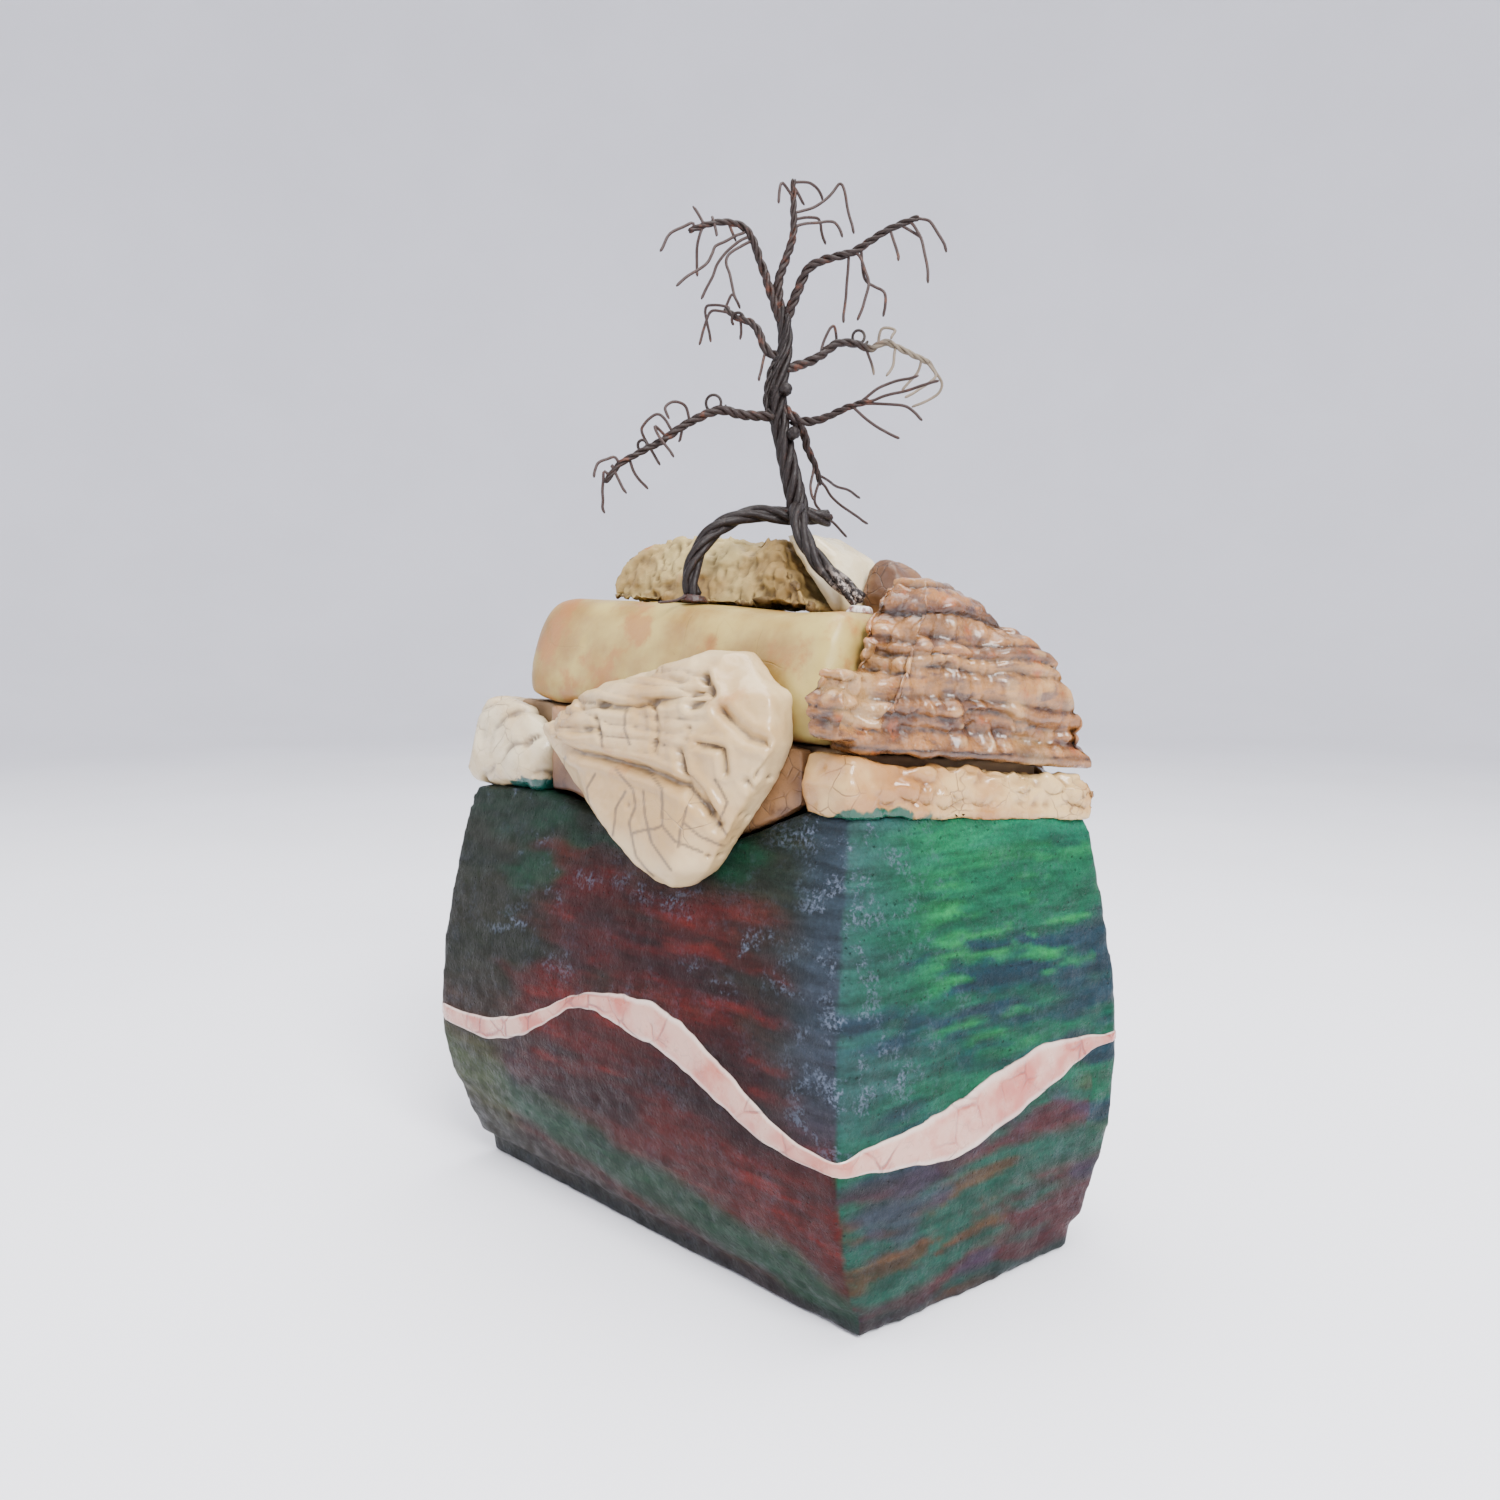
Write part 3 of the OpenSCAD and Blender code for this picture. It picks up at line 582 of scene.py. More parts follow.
def paint_right(flow, streak, fine):
    """Right and rear walls: emerald and teal streaks over brown and violet at the foot."""
    x, y, z = flow.T
    around = np.where(y > 30, -x, y)
    colour = np.tile(tint(14, 98, 74), (len(x), 1))
    colour = blend(colour, tint(24, 62, 74), ease(streak, 0.0, 0.35))
    bright = ease(fine - 0.4 * streak, 0.02, 0.34) * ease(around, -32, -10)
    colour = blend(colour, tint(44, 142, 84), 0.85 * bright * ease(z, 52, 72))
    colour = blend(colour, tint(16, 110, 80), 0.6 * ease(z, 92, 108))
    lower = 1 - ease(z - 0.12 * around, 36, 48)
    foot = blend(np.tile(tint(34, 84, 72), (len(x), 1)), tint(84, 38, 42),
                 ease(streak + 0.5 * fine, -0.1, 0.3))
    foot = blend(foot, tint(98, 66, 40), 0.8 * ease(fine - streak, 0.15, 0.45))
    foot = blend(foot, tint(68, 54, 80), 0.7 * ease(layered(flow, (20, 20, 8), 3, 44), 0.15, 0.45))
    return blend(colour, foot, 0.95 * lower)


def inner_points(p, n):
    """1 for the walls of the hollow inside the box, 0 outside: their normals face the middle."""
    low, high = (np.array(c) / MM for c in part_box("box_walls"))
    towards = ((low + high) / 2 - p)[:, :2]
    inward = np.einsum("ij,ij->i", n[:, :2], towards / np.linalg.norm(towards, axis=1)[:, None])
    reach = (high - low)[:2] / 2
    inside = np.max(np.abs(p[:, :2] - (low + high)[:2] / 2) / reach, axis=1) < 0.9
    floor = (n[:, 2] > 0.6) & (p[:, 2] < 20) & inside
    return np.maximum(ease(inward, 0.1, 0.4), floor.astype(float))


def band_edges(step):
    """Lower and upper height of the CAD band at each compass angle, in millimetres."""
    tree = BVHTree.FromObject(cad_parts["crackle_band"], bpy.context.evaluated_depsgraph_get())
    low, high = (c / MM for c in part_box("crackle_band"))
    heights = np.arange(low.z - 1, high.z + 1, 0.5)
    edges = []
    for angle in np.arange(0, 360, step):
        out = Vector((math.cos(math.radians(angle)), math.sin(math.radians(angle)), 0))
        hits = [z for z in heights
                if tree.ray_cast((out * 200 + Vector((0, 0, z))) * MM, -out, 190 * MM)[0]]
        edges.append((min(hits), max(hits)) if hits else (edges[-1] if edges else (49, 51)))
    return np.array(edges)


def band(body_obj):
    """The raised crackle band: a rounded strip laid on the body's outer surface."""
    step, rows = 1.0, 17
    edges = band_edges(step)
    for _ in range(3):
        edges = (np.roll(edges, 1, 0) + edges * 2 + np.roll(edges, -1, 0)) / 4
    tree = BVHTree.FromObject(body_obj, bpy.context.evaluated_depsgraph_get())
    angles = np.radians(np.arange(0, 360, step))
    ring = np.stack([80 * np.cos(angles), 60 * np.sin(angles), angles * 0], 1)
    low = edges[:, 0] + 0.9 * layered(ring, 9, 3, 61)
    high = np.maximum(edges[:, 1] + 0.9 * layered(ring + 40, 9, 3, 62), low + 1.6)
    points, rim = [], []
    for k, angle in enumerate(angles):
        out = Vector((math.cos(angle), math.sin(angle), 0))
        for r in range(rows):
            t = 2 * r / (rows - 1) - 1
            z = (low[k] + high[k]) / 2 + t * (high[k] - low[k]) / 2
            hit, normal, _, _ = tree.ray_cast((out * 200 + Vector((0, 0, z))) * MM, -out)
            lift = 0.75 * math.sqrt(max(0, 1 - t ** 4)) - 0.25
            points.append(hit / MM + normal * lift)
            rim.append(abs(t))
    count = len(angles)
    faces = [(k * rows + r, (k + 1) % count * rows + r, (k + 1) % count * rows + r + 1,
              k * rows + r + 1) for k in range(count) for r in range(rows - 1)]
    obj = new_object("crackle_band_skin", points, faces)
    relax(obj, 1)
    store(obj, "rim", np.array(rim))
    close_back(obj, 1.0)
    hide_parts("crackle_band")
    return obj


def close_back(obj, thickness):
    """Gives a strip a back, so that it is a closed piece."""
    solid = obj.modifiers.new("back", "SOLIDIFY")
    solid.thickness = thickness * MM
    solid.offset = -1
    bake_modifiers(obj)


SIDE = np.array((0.724, 0.69, 0))  # across, for someone who faces the front corner


def seen_shares(obj, node):
    """Places as (across, up) shares of a CAD node, seen by someone who faces the front corner."""
    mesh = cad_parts[node].data
    cad = np.array([v.co for v in mesh.vertices]) / MM
    p = read_points(obj)
    across, up = cad @ SIDE, cad[:, 2]
    return ((p @ SIDE - across.min()) / np.ptp(across), (p[:, 2] - up.min()) / np.ptp(up),
            np.ptp(across), np.ptp(up))


def front_lines(obj, node, lines):
    """Distance in millimetres, as seen, from each point to the nearest of the lines."""
    across, up, width, height = seen_shares(obj, node)
    wobble = 0.5 * layered(read_points(obj), 6, 3, 71)
    best = np.full(len(across), 99.0)
    for line in lines:
        places = [(a * width, b * height) for a, b in line]
        best = np.minimum(best, line_distance(across * width + wobble, up * height - wobble, places))
    return best


def fold(obj, node, line, depth, width, lip=0.18):
    """Presses a fold line into the front of a rock, with the clay swollen beside it."""
    d = front_lines(obj, node, [line])
    facing = ease(-read_normals(obj)[:, 1], -0.1, 0.35)
    uneven = 0.75 + 0.6 * layered(read_points(obj), 8, 2, 72)
    cut = -depth * uneven * np.exp(-(d / width) ** 2) + lip * depth * np.exp(-((d - 2.6 * width) / width) ** 2)
    push(obj, facing * cut)


FRONT_FOLDS = [  # line, depth and width in millimetres
    ([(0.12, 0.57), (0.17, 0.54), (0.36, 0.52), (0.51, 0.49), (0.63, 0.44), (0.71, 0.34),
      (0.74, 0.29)], 2.6, 1.1),
    ([(0.2, 0.74), (0.28, 0.76), (0.4, 0.755), (0.57, 0.8), (0.71, 0.85)], 1.9, 0.9),
    ([(0.14, 0.76), (0.14, 0.8), (0.19, 0.82)], 1.6, 0.7),
    ([(0.3, 0.89), (0.45, 0.91), (0.6, 0.88), (0.69, 0.89)], 1.5, 0.9),
    ([(0.69, 0.89), (0.72, 0.82), (0.68, 0.79), (0.64, 0.77)], 1.8, 0.8),
    ([(0.75, 0.76), (0.8, 0.7), (0.84, 0.66), (0.93, 0.63)], 2.4, 1.1),
    ([(0.66, 0.63), (0.7, 0.62), (0.75, 0.61), (0.76, 0.51)], 2.6, 0.7),
    ([(0.6, 0.59), (0.62, 0.5), (0.68, 0.43), (0.72, 0.34)], 1.8, 0.8),
    ([(0.9, 0.54), (0.87, 0.5), (0.92, 0.47)], 1.8, 0.8),
    ([(0.03, 0.69), (0.09, 0.63), (0.21, 0.64), (0.28, 0.66)], 1.6, 0.8),
    ([(0.08, 0.67), (0.07, 0.72), (0.09, 0.76)], 1.4, 0.7),
    ([(0.51, 0.76), (0.52, 0.66), (0.51, 0.58)], 1.0, 0.6),
    ([(0.28, 0.7), (0.3, 0.62)], 0.9, 0.6),
    ([(0.83, 0.48), (0.88, 0.42), (0.89, 0.34)], 1.4, 0.8),
]
FRONT_VEINS = [
    [(0.145, 0.51), (0.11, 0.44), (0.105, 0.39)],
    [(0.28, 0.45), (0.24, 0.39), (0.25, 0.29)],
    [(0.4, 0.4), (0.36, 0.32), (0.35, 0.2)],
    [(0.36, 0.49), (0.43, 0.41), (0.44, 0.34), (0.42, 0.26), (0.44, 0.13), (0.5, 0.05)],
    [(0.47, 0.41), (0.48, 0.3), (0.5, 0.2), (0.57, 0.1)],
    [(0.5, 0.48), (0.54, 0.43), (0.54, 0.28), (0.59, 0.22), (0.68, 0.18)],
    [(0.43, 0.22), (0.54, 0.28)],
    [(0.62, 0.3), (0.68, 0.24), (0.76, 0.2)],
    [(0.6, 0.2), (0.62, 0.3), (0.63, 0.37)],
    [(0.73, 0.48), (0.77, 0.39), (0.74, 0.3), (0.77, 0.25)],
    [(0.14, 0.35), (0.16, 0.31)],
    [(0.3, 0.66), (0.31, 0.58)],
    [(0.4, 0.75), (0.4, 0.66), (0.42, 0.6)],
]
FRONT_HOLES = [(0.7, 0.155), (0.74, 0.157), (0.905, 0.49), (0.63, 0.69)]


def front_rock():
    """The folded rock: torn layers and a smooth knob above, a veined bulge below."""
    obj = clay_from("folded_front_rock", ["front_rock"], 0.55, 16)
    layered_part = front_mask(obj, (0.08, 0.7), (0.56, 0.95))
    p = read_points(obj)
    course = (p[:, 2] + 0.05 * p[:, 0] + 1.6 * layered(p, 13, 3, 5)) / 3.4
    ledge = np.sqrt(np.clip(1 - (2 * (course % 1) - 1) ** 2, 0, 1))
    push(obj, layered_part * (0.75 * ledge - 0.75))
    lump(obj, 14, 1.0, 14)
    for line, depth, width in FRONT_FOLDS:
        fold(obj, "front_rock", line, depth, width)
    lump(obj, 5, 0.3, 17, inward=False)
    pits(obj, 4.5, 0.6, 0.16, 15)
    holes = front_lines(obj, "front_rock", [[(a, b), (a + 0.004, b)] for a, b in FRONT_HOLES])
    push(obj, -1.0 * np.exp(-(holes / 0.55) ** 2))
    lump(obj, 1.6, 0.1, 16, inward=False)
    hollow_shade_from(obj)
    veins = front_lines(obj, "front_rock", FRONT_VEINS)
    facing = ease(-read_normals(obj)[:, 1], -0.3, 0.2)
    store(obj, "vein", facing * (1 - ease(veins, 0.1, 0.55)))
    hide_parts("front_rock")
    return obj


def front_mask(obj, across, up):
    """1 inside a window of the front rock as seen, fading to 0 outside it."""
    a, b, _, _ = seen_shares(obj, "front_rock")
    a = ease(a, across[0] - 0.05, across[0] + 0.05) * (1 - ease(a, across[1] - 0.05, across[1] + 0.05))
    b = ease(b, up[0] - 0.05, up[0] + 0.05) * (1 - ease(b, up[1] - 0.05, up[1] + 0.05))
    return a * b


def plain_rock(name, nodes, voxel=1.0, rounds=8, dent=1.2, grain=0.25, holes=0.5, seed=1):
    obj = clay_from(name, nodes, voxel, rounds)
    lump(obj, 17, dent, seed)
    lump(obj, 3.2, grain, seed + 1, inward=False)
    pits(obj, 5, holes, 0.35, seed + 2)
    hollow_shade_from(obj)
    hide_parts(*nodes)
    return obj


def back_rock():
    """Torn rock of short upright folds over thin layers."""
    obj = clay_from("rough_back_rock", ["back_rock"], 0.8, 12)
    p = read_points(obj)
    warp = 2.0 * np.stack([layered(p, 9, 3, 20 + k) for k in (1, 2, 3)], 1)
    first, second, number = cells(p + warp, (5.5, 7, 9), 26)
    gap = ease(second - first, 0.0, 0.45)
    push(obj, -1.3 * (1 - gap) - 1.5 * number * gap)
    lump(obj, 13, 1.6, 25)
    ridge = 1 - np.abs(layered(read_points(obj), (4, 4, 7), 4, 28)) * 2
    push(obj, -0.9 * ease(ridge, 0.35, 0.9))
    pits(obj, 3.6, 0.7, 0.3, 27)
    lump(obj, 1.8, 0.15, 29, inward=False)
    hollow_shade_from(obj)
    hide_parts("back_rock")
    return obj


def seat_height(p):
    """Height above the sloping seat of the lid, in millimetres."""
    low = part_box("strata_rock")[0] / MM
    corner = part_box("strata_rock")[1] / MM
    return p[:, 2] - low.z + 0.067 * (p[:, 0] - corner.x) + 0.074 * (p[:, 1] - corner.y)


def courses(p, thick, wander, seed):
    """Number of the layer that each point is in, and how far up that layer it is."""
    h = seat_height(p) + wander * layered(p, (22, 22, 14), 3, seed)
    uneven = h / thick + 0.3 * np.sin(h / thick * 1.7 + seed)
    return np.floor(uneven), uneven % 1


def strata():
    """The layered rock and its lobe: stacked torn layers with beaded edges and recessed joints, painted dark
    as shade.
    """
    obj = clay_from("layered_rock", ["strata_rock", "strata_lobe"], 0.75, 18)
    seed = 161
    p = read_points(obj)
    number, up = courses(p, 4.9, 2.6, seed)
    round_edge = np.sqrt(np.clip(1 - (2 * up - 1) ** 2, 0, 1))
    per_layer = np.stack([number, number * 0 + seed, number * 0], 1).astype(np.int64)
    recess = lattice(per_layer, seed)
    beads = np.stack([p[:, 0], p[:, 1], number * 40], 1)
    first, second, bead_number = cells(beads + 0.9 * noise(p, 5, seed)[:, None], (4.6, 4.6, 40), seed)
    bead = ease(second - first, 0.0, 0.6)
    strong = ease(layered(p, 22, 2, seed + 1), -0.25, 0.2)
    side = 1 - np.abs(read_normals(obj)[:, 2]) ** 4
    cut = 1.7 * (1 - round_edge) + 1.2 * recess + strong * (1.7 * (1 - bead) + 0.8 * bead_number)
    foot = ease(seat_height(p), 1.5, 6)
    push(obj, -foot * (side * 1.25 * cut + (1 - side) * 0.6 * (1 - bead)))
    relax(obj, 1)
    lump(obj, 10, 1.0, seed + 2)
    lump(obj, 2.5, 0.2, seed + 3, inward=False)
    pits(obj, 4, 0.7, 0.2, seed + 4)
    # ridge drives the painted highlight on the layer edges and the painted shade in the joints
    store(obj, "ridge", np.clip(round_edge * (0.5 + 0.5 * bead), 0, 1))
    store(obj, "tone", recess)
    store(obj, "pale", ease(layered(read_points(obj), 15, 3, seed + 6), 0.1, 0.4))
    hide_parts("strata_rock", "strata_lobe")
    return obj


def cobbled(name, node, size, depth, seed, nose=None, rounds=9):
    """Rows of pressed pebbles of clay; nose is a place that stays a smooth knob."""
    obj = clay_from(name, [node], 0.85, rounds)
    p = read_points(obj)
    warp = 1.4 * np.stack([layered(p, 8, 2, seed + k) for k in (1, 2, 3)], 1)
    first, second, number = cells(p + warp, size, seed)
    gap = ease(second - first, 0.0, 0.4)
    keep = np.ones(len(p))
    if nose is not None:
        keep = ease(np.linalg.norm((p - nose) / (11, 10, 12), axis=1), 0.8, 1.2)
    keep = keep * (1 - ease(-read_normals(obj)[:, 2], 0.3, 0.8))
    push(obj, -keep * (depth * (1 - gap) + 0.7 * depth * number * gap))
    relax(obj, 1)
    lump(obj, 8, 0.7, seed + 2)
    lump(obj, 3, 0.2, seed + 3, inward=False)
    pits(obj, 4.5, 0.5, 0.2, seed + 4)
    hollow_shade_from(obj)
    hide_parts(node)
    return obj


def white_rock():
    """Rounded white rock with slanting grooves, green glaze run at its foot."""
    obj = clay_from("white_rim_rock", ["rim_rock_left"], 1.0, 80)
    p = read_points(obj)
    low, high = (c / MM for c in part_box("rim_rock_left"))
    droop = 0.3 * ease(p[:, 0], high.x - 14, high.x) + 0.22 * ease(-p[:, 0], -low.x - 9, -low.x)
    p[:, 2] -= (droop * ease(-p[:, 1], 18, 34)) * (p[:, 2] - low.z)
    write_points(obj, p)
    push(obj, np.full(len(p), 1.0))
    warp = 2.5 * np.stack([layered(p, 10, 2, 80 + k) for k in (1, 2, 3)], 1)
    slant = (p + warp) @ np.array((-0.5, 0.2, 0.8)) / 9
    deep = ease(layered(p, 12, 2, 87), -0.1, 0.3)
    push(obj, -1.3 * deep * np.exp(-((slant % 1 - 0.5) / 0.09) ** 2))
    lump(obj, 10, 1.2, 84)
    lump(obj, 3, 0.25, 85, inward=False)
    hollow_shade_from(obj)
    foot = low.z + 4 * ease(p[:, 0], low.x + 8, high.x - 4)
    run = 1 - ease(p[:, 2] - foot + 2.5 * layered(p, 6, 3, 86), 1, 5)
    store(obj, "glaze_run", 1.2 * run * ease(p[:, 0], low.x + 6, low.x + 18))
    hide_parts("rim_rock_left")
    return obj


def rim_slab():
    """Cream slab of the right rim, with a smooth nose over the front corner."""
    low, high = (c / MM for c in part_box("rim_slab_right"))
    nose = np.array((low.x + 9, low.y + 6, high.z - 9))
    obj = cobbled("cream_rim_slab", "rim_slab_right", (7, 7, 5.5), 2.1, 91, nose)
    p = read_points(obj)
    under_nose = 1 - ease(p[:, 1], low.y + 12, low.y + 34)
    run = 1 - ease(p[:, 2] - (low.z + 0.085 * (high.y - p[:, 1])) + 2 * layered(p, 6, 3, 92), 0.2, 2.5)
    store(obj, "glaze_run", run * (0.35 + 0.65 * under_nose))
    seated = ease(-read_normals(obj)[:, 2], 0.1, 0.6)
    p[:, 2] -= 1.4 * seated
    write_points(obj, p)
    return obj


def cap_stone():
    obj = clay_from("cap_stone_skin", ["cap_stone"], 0.7, 22)
    lump(obj, 12, 0.8, 131)
    lump(obj, 4, 0.15, 132, inward=False)
    hollow_shade_from(obj)
    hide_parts("cap_stone")
    return obj


def smooth_slab():
    """Satin slab with rounded ends and a few long hairline cracks."""
    obj = clay_from("smooth_slab", ["lid_slab"], 1.7, 34)
    finer = obj.modifiers.new("finer", "SUBSURF")
    finer.levels = 1
    finer.render_levels = 1
    bake_modifiers(obj)
    obj.data.shade_smooth()
    lump(obj, 34, 1.4, 121)
    lump(obj, 9, 0.35, 122)
    pits(obj, 9, 0.7, 0.12, 123)
    hollow_shade_from(obj)
    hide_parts("lid_slab")
    return obj


# ---------- wires ----------

def rings_of(node, sides):
    """Middle line and radius of every wire in a CAD node, ring by ring."""
    bm = bmesh.new()
    bm.from_mesh(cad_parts[node].data)
    bmesh.ops.remove_doubles(bm, verts=bm.verts, dist=0.004 * MM)
    bm.verts.ensure_lookup_table()
    seen, wires = set(), []
    for start in bm.verts:
        if start in seen:
            continue
        part = reach([start], None)
        seen |= part
        wires.append(peel(part, sides))
    bm.free()
    return wires


def reach(start, stop):
    found, edge = set(start), list(start)
    while edge:
        near = {e.other_vert(v) for v in edge for e in v.link_edges} - found
        found |= near
        edge = list(near)
    return found


def peel(part, sides):
    """Takes rings off one end of a tube, one after another."""
    faces = {f for v in part for f in v.link_faces}
    for face in faces:
        group, edge = {face}, [face]
        while edge:
            near = {g for f in edge for e in f.edges for g in e.link_faces
                    if g not in group and g.normal.dot(face.normal) > 0.99999}
            group |= near
            edge = list(near)
        ring = {v for f in group for v in f.verts}
        if len(ring) != sides:
            continue
        rings, done = [ring], set(ring)
        while len(ring) == sides and len(done) < len(part):
            ring = {e.other_vert(v) for v in ring for e in v.link_edges} - done
            done |= ring
            rings.append(ring)
        if len(ring) == sides:
            centres = np.array([np.mean([v.co / MM for v in r], 0) for r in rings])
            radii = np.array([np.mean([(v.co / MM - Vector(c)).length for v in r])
                              for r, c in zip(rings, centres)])
            return centres, radii
    raise ValueError("no end ring found")


def resample(line, radii, spacing):
    """Points at even spacing along a smooth curve through the line."""
    count = len(line)
    fine, fine_r = [], []
    for i in range(count - 1):
        a, b = line[max(i - 1, 0)], line[i]
        c, d = line[i + 1], line[min(i + 2, count - 1)]
        for t in np.linspace(0, 1, 8, endpoint=False):
            fine.append(0.5 * (2 * b + (c - a) * t + (2 * a - 5 * b + 4 * c - d) * t * t
                               + (3 * b - a - 3 * c + d) * t ** 3))
            fine_r.append(radii[i] + (radii[i + 1] - radii[i]) * t)
    fine.append(line[-1])
    fine_r.append(radii[-1])
    fine = np.array(fine)
    along = np.concatenate([[0], np.cumsum(np.linalg.norm(np.diff(fine, axis=0), axis=1))])
    places = np.linspace(0, along[-1], max(4, int(along[-1] / spacing) + 1))
    even = np.stack([np.interp(places, along, fine[:, k]) for k in range(3)], 1)
    return even, np.interp(places, along, fine_r), places


def frames_along(line):
    """Two directions square to the line at each point, carried along without twist."""
    tangent = np.gradient(line, axis=0)
    tangent /= np.linalg.norm(tangent, axis=1)[:, None]
    side = np.cross(tangent[0], (0.3, 0.9, 0.2))
    sides = []
    for t in tangent:
        side = side - t * side.dot(t)
        side /= np.linalg.norm(side)
        sides.append(side)
    sides = np.array(sides)
    return sides, np.cross(tangent, sides)


def tube(points, faces, line, radii, sides=7):
    """Adds a round wire with rounded ends to the growing lists."""
    side, other = frames_along(line)
    angles = np.linspace(0, 2 * math.pi, sides, endpoint=False)
    first = len(points)
    scale = np.ones(len(line))
    scale[0] = scale[-1] = 0.55
    for c, s, o, r, k in zip(line, side, other, radii, scale):
        for a in angles:
            points.append(c + r * k * (math.cos(a) * s + math.sin(a) * o))
    for i in range(len(line) - 1):
        for k in range(sides):
            m = (k + 1) % sides
            a = first + i * sides
            faces.append((a + k, a + m, a + sides + m, a + sides + k))
    faces.append(tuple(first + k for k in reversed(range(sides))))
    faces.append(tuple(first + (len(line) - 1) * sides + k for k in range(sides)))


def twisted(points, faces, line, radii, strands, pitch, seed, core=False, lumpy=0.14,
            spacing=0.45):
    """Strands wound round each other along a line, filling its radius."""
    even, r, along = resample(line, radii, spacing)
    side, other = frames_along(even)
    share = {1: 1.0, 2: 0.56, 3: 0.5, 4: 0.45, 5: 0.4, 6: 0.36, 7: 0.34, 8: 0.31}[strands]
    for k in range(strands):
        drift = 0.5 * noise(np.stack([along, along * 0 + k * 7, along * 0], 1), 9, seed + k)
        angle = 2 * math.pi * (k / strands + along / pitch) + drift
        uneven = layered(np.stack([along, along * 0 + k, along * 0 + 3], 1), 3.5, 3, seed + k)
        thick = r * share * (1 + lumpy * uneven)
        offset = (r - thick)[:, None]
        path = even + offset * (np.cos(angle)[:, None] * side + np.sin(angle)[:, None] * other)
        tube(points, faces, path, thick)
    if core:
        tube(points, faces, even, r * 0.55)


def kinked(line, amount, seed):
    """Small hand-made bends in a thin wire; its two ends stay put."""
    t = np.linspace(0, 1, len(line))
    away = np.minimum(1, 8 * np.minimum(t, 1 - t))[:, None]
    shift = np.stack([noise(line, 5, seed + k) for k in range(3)], 1)
    return line + amount * away * shift


def rooted(line, radii, branch):
    """A twig carried on from its nearer end to the middle of its branch, if that is close."""
    middle = resample(*branch, 0.5)[0]
    away = [np.linalg.norm(middle - end, axis=1) for end in (line[0], line[-1])]
    if away[1].min() < away[0].min():
        line, radii, away = line[::-1], radii[::-1], away[::-1]
    if away[0].min() > 4:
        return line, radii
    return np.vstack([middle[away[0].argmin()], line]), np.append(radii[0], radii)


def wire_piece(name, nodes, sides, strands, pitch, seed, material, core=False, kinks=0.0,
               lumpy=0.14, extra=(), soldered=False, dusty=False, branch=None):
    """Twisted wires on the middle lines of the CAD nodes that they replace."""
    points, faces = [], []
    for k, node in enumerate(nodes):
        for j, (line, radii) in enumerate(rings_of(node, sides)):
            if strands == 1:
                if branch:
                    line, radii = rooted(line, radii, rings_of(branch, 6)[0])
                even, r, _ = resample(line, radii, 0.6)
                tube(points, faces, kinked(even, kinks, seed + j), r)
            else:
                twisted(points, faces, line, radii, strands, pitch, seed + 11 * j, core, lumpy)
    for line, radius in extra:
        even, r, _ = resample(np.array(line, float), np.full(len(line), radius), 0.4)
        tube(points, faces, even, r)
    top = cad_box[1].z / MM
    points = [(p[0], p[1], min(p[2], top)) for p in points]
    obj = new_object(name, points, faces)
    p = read_points(obj)
    out = np.linalg.norm((p - tree_axis())[:, :2], axis=1)
    store(obj, "solder", 0.55 * soldered * ease(out + 5 * layered(p, 6, 3, seed), 20, 26))
    store(obj, "dust", 0.85 * dusty * near_right_foot(p))
    obj.data.materials.append(material)
    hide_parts(*nodes)
    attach(obj, "lid")
    return obj


def tree_axis():
    """Middle of the trunk, in millimetres."""
    low, high = (np.array(c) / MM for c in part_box("trunk"))
    return (low + high) / 2


def near_right_foot(p):
    """1 round the foot of the right root, fading to 0 up the root."""
    low, high = (np.array(c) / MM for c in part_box("root_right"))
    foot = np.array((high[0], low[1], low[2]))
    return 1 - ease(np.linalg.norm(p - foot, axis=1), 6, 16)


CURLS = {  # branch: where along it, radius in millimetres, turns, first angle
    1: [(0.34, 2.3, 1.25, -90), (0.78, 1.5, 0.9, -60)],
    2: [(0.72, 2.0, 0.6, 0)],
    6: [(0.55, 1.9, 1.2, -90)],
}


def curls(branch):
    """Small open curls of wire that stand on a branch."""
    line, _ = rings_of(f"branch_{branch}", 6)[0]
    found = []
    for share, radius, turns, first in CURLS.get(branch, ()):
        base = line[int(share * (len(line) - 1))]
        angles = np.radians(first) + np.linspace(0, 2 * math.pi * turns, int(14 * turns) + 3)
        across = radius * (np.cos(angles) - math.cos(angles[0]))
        up = radius * (np.sin(angles) - math.sin(angles[0]))
        drift = 0.12 * np.arange(len(angles))
        found.append((base + np.stack([across * 0.7, across * 0.7 + drift, up], 1), 0.4))
    return found


def dress(obj, body_name, material):
    obj.data.materials.append(material)
    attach(obj, body_name)
    return obj


def build_box():
    walls = dress(body(), "box", body_glaze())
    dress(band(walls), "box", band_glaze())
    white = crackled_clay("white_crackle_glaze", tint(222, 210, 184), tint(204, 184, 150),
                          tint(132, 114, 98), 7.0, 0.3, coat=0.35, line_share=0.46,
                          run=tint(20, 92, 82))
    dress(white_rock(), "box", white)
    cream = crackled_clay("cream_crackle_glaze", tint(216, 188, 140), tint(180, 136, 88),
                          tint(120, 80, 50), 6.0, 0.28, coat=0.45, line_share=0.42,
                          stain=tint(190, 132, 82), stain_share=0.6, run=tint(26, 96, 76))
    dress(rim_slab(), "box", cream)
    for name, node, seed in (("rear_right_rim_rock", "rim_rock_rear_right", 101),
                             ("rear_left_rim_rock", "rim_rock_rear_left", 111)):
        dress(cobbled(name, node, (20, 20, 10), 1.5, seed), "box", cream)


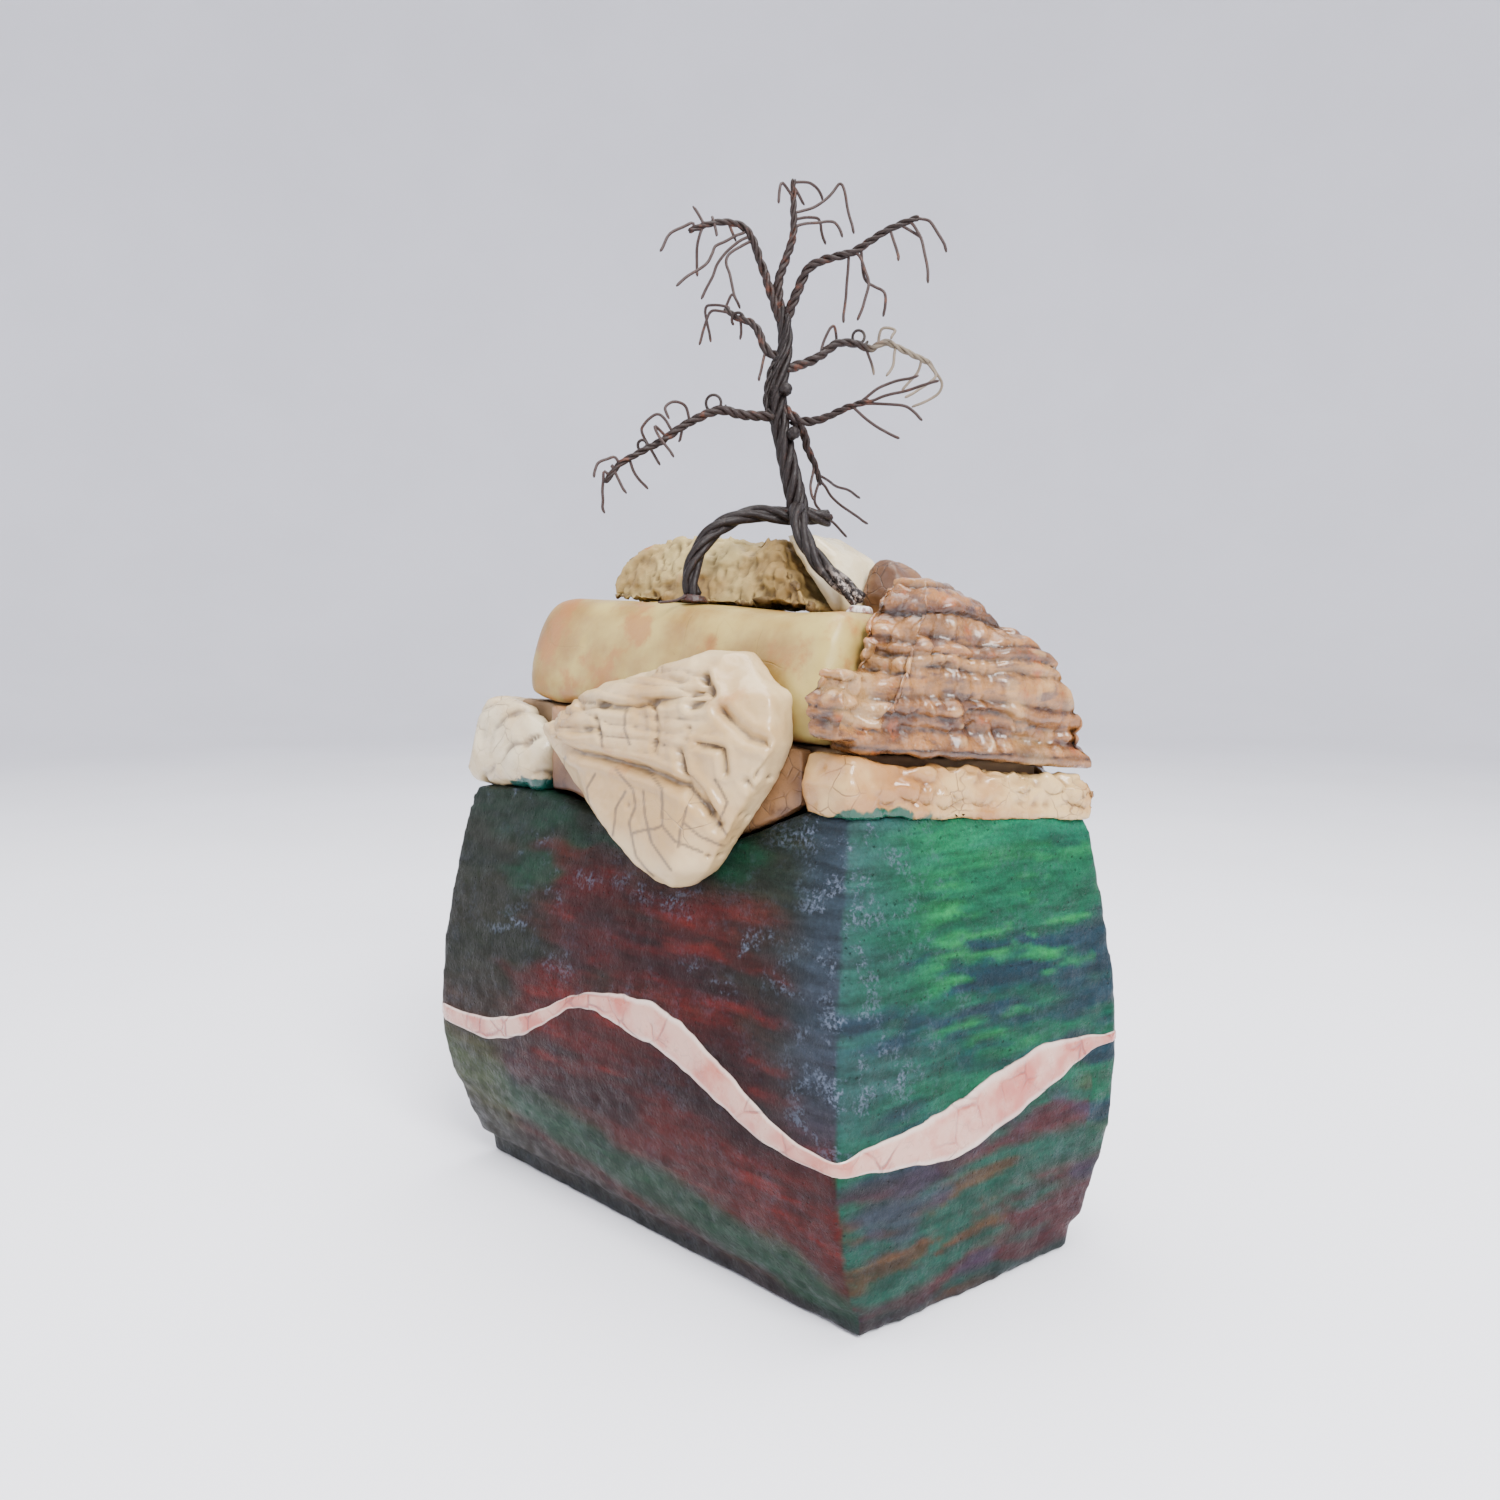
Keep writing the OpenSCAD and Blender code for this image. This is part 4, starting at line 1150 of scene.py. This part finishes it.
def build_lid():
    yellow = crackled_clay("yellow_satin_clay", tint(196, 178, 118), tint(164, 132, 76),
                           tint(112, 88, 54), 26.0, 0.38, line_share=0.46, line_width=0.3,
                           line_depth=0.5, stain=tint(178, 126, 76), stain_share=0.5,
                           grain=0.18, blot=tint(150, 96, 52))
    dress(smooth_slab(), "lid", yellow)
    buff = crackled_clay("buff_torn_clay", tint(196, 178, 130), tint(166, 140, 92),
                         tint(104, 82, 54), 14.0, 0.55, line_share=0.36,
                         stain=tint(184, 118, 76), stain_share=0.64, grain=0.6)
    dress(back_rock(), "lid", buff)
    white = crackled_clay("cap_glaze", tint(236, 226, 200), tint(214, 196, 158),
                          tint(120, 98, 82), 12.0, 0.26, coat=0.5, line_share=0.36,
                          stain=tint(190, 140, 92), stain_share=0.66)
    dress(cap_stone(), "lid", white)
    cream = crackled_clay("front_rock_glaze", tint(216, 194, 156), tint(196, 166, 122),
                          tint(112, 96, 84), 13.0, 0.36, coat=0.25, line_share=0.38,
                          line_depth=0.45, stain=tint(190, 150, 104), stain_share=0.62)
    dress(front_rock(), "lid", cream)
    brown = crackled_clay("brown_smoked_clay", tint(168, 132, 96), tint(116, 86, 66),
                          tint(60, 42, 34), 5.0, 0.42, coat=0.2, stain=tint(82, 56, 46),
                          stain_share=0.58)
    dress(plain_rock("tongue_skin", ["lid_tongue"], 0.9, 6, seed=141), "lid", brown)
    dress(plain_rock("rear_boulder_skin", ["rear_boulder"], 0.7, 7, seed=151), "lid",
          brown)
    glossy = layered_glaze()
    dress(strata(), "lid", glossy)
    raw = crackled_clay("raw_clay", tint(186, 162, 132), tint(158, 132, 104),
                        tint(96, 74, 58), 12.0, 0.75, line_share=0.2)
    flange = plain_rock("flange_skin", ["lid_flange"], 1.0, 3, dent=0.3, holes=0.2, seed=181)
    dress(flange, "lid", raw)


def build_tree():
    iron = iron_wire("iron_trunk", tint(46, 36, 34), tint(92, 58, 44), 0.6, 0.5)
    rusty = iron_wire("iron_branch", tint(60, 46, 42), tint(112, 72, 54), 0.54, 0.5)
    thin = iron_wire("iron_twig", tint(84, 68, 64), tint(116, 84, 70), 0.55, 0.5)
    wire_piece("tree_trunk", ["trunk"], 10, 6, 27, 201, iron, core=True, lumpy=0.2)
    wire_piece("tree_wound_strand", ["binding_wire"], 5, 2, 9, 202, iron)
    wire_piece("tree_side_strand", ["side_strand"], 6, 2, 7, 203, iron)
    wire_piece("tree_roots", ["root_left", "root_right", "root_rear"], 6, 4, 30, 204,
               iron, core=True, lumpy=0.3, dusty=True)
    for k in range(1, 9):
        wire_piece(f"tree_branch_{k}", [f"branch_{k}"], 6, 3, 9, 210 + k, rusty,
                   soldered=k == 6, extra=curls(k))
        wire_piece(f"tree_twigs_{k}", [f"twigs_{k}"], 5, 1, 0, 220 + 10 * k, thin,
                   kinks=0.5, soldered=k == 6, branch=f"branch_{k}")
    wire_piece("loose_wire_end", ["loose_wire"], 5, 1, 0, 205, thin)
    knots = clay_from("tree_knots", ["trunk_knots"], 0.35, 2)
    lump(knots, 1.5, 0.4, 206)
    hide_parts("trunk_knots")
    dress(knots, "lid", iron)
    glue = clay_from("root_glue_skin", ["root_glue"], 0.4, 3)
    lump(glue, 2.5, 0.5, 207)
    store(glue, "smoked", 1 - near_right_foot(read_points(glue)))
    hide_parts("root_glue")
    dress(glue, "lid", glue_resin())


# ---------- floor, light and camera ----------

def build_studio():
    """A pale floor that curves up into a pale wall all round, with soft lights inside it."""
    flat, bend, top = 1600, 900, 2200
    profile = [(100, 0), (flat / 2, 0), (flat, 0)]
    profile += [(flat + bend * math.sin(a), bend - bend * math.cos(a))
                for a in np.linspace(0.1, math.pi / 2, 12)] + [(flat + bend, top)]
    count = 96
    points = [(radius * math.cos(a), radius * math.sin(a), height) for radius, height in profile
              for a in np.linspace(0, 2 * math.pi, count, endpoint=False)]
    faces = [(r * count + k, (r + 1) * count + k, (r + 1) * count + (k + 1) % count,
              r * count + (k + 1) % count) for r in range(len(profile) - 1) for k in range(count)]
    faces.append(tuple(range(count)))
    floor = new_object("studio_floor", points, faces)
    s = Shader("pale_floor")
    colour = s.mix(s.fit(s.noise(260, 3), 0.3, 0.7), linear(234, 234, 240), linear(238, 238, 244))
    floor.data.materials.append(s.finish(colour, 0.9))
    world = bpy.data.worlds.new("studio")
    bpy.context.scene.world = world
    world.use_nodes = True
    back = world.node_tree.nodes["Background"]
    back.inputs["Color"].default_value = (*linear(232, 232, 238), 1)
    back.inputs["Strength"].default_value = 1.2
    aim = Vector((0, 0, 0.13))
    add_light("key_right", (0.8, -0.35, 0.8), aim, 0.5, 30)
    add_light("fill_left", (-0.8, -0.8, 0.6), aim, 0.9, 7)
    add_light("top_soft", (0.0, 0.1, 1.2), aim, 0.8, 18)


def add_light(name, place, aim, size, power):
    light = bpy.data.lights.new(name, "AREA")
    light.shape = "SQUARE"
    light.size = size
    light.energy = power
    obj = bpy.data.objects.new(name, light)
    obj.location = place
    obj.rotation_euler = (aim - Vector(place)).to_track_quat("-Z", "Y").to_euler()
    bpy.context.collection.objects.link(obj)


def build_camera():
    camera = bpy.data.cameras.new("photo_view")
    camera.sensor_width = 36
    camera.lens = 27.6
    camera.clip_start = 0.01
    obj = bpy.data.objects.new("photo_view", camera)
    obj.location = (0.214, -0.233, 0.156)
    obj.rotation_euler = (math.radians(90 - 5.46), 0, math.radians(43.6))
    bpy.context.collection.objects.link(obj)
    bpy.context.scene.camera = obj


build_studio()
build_camera()
build_box()
build_lid()
build_tree()
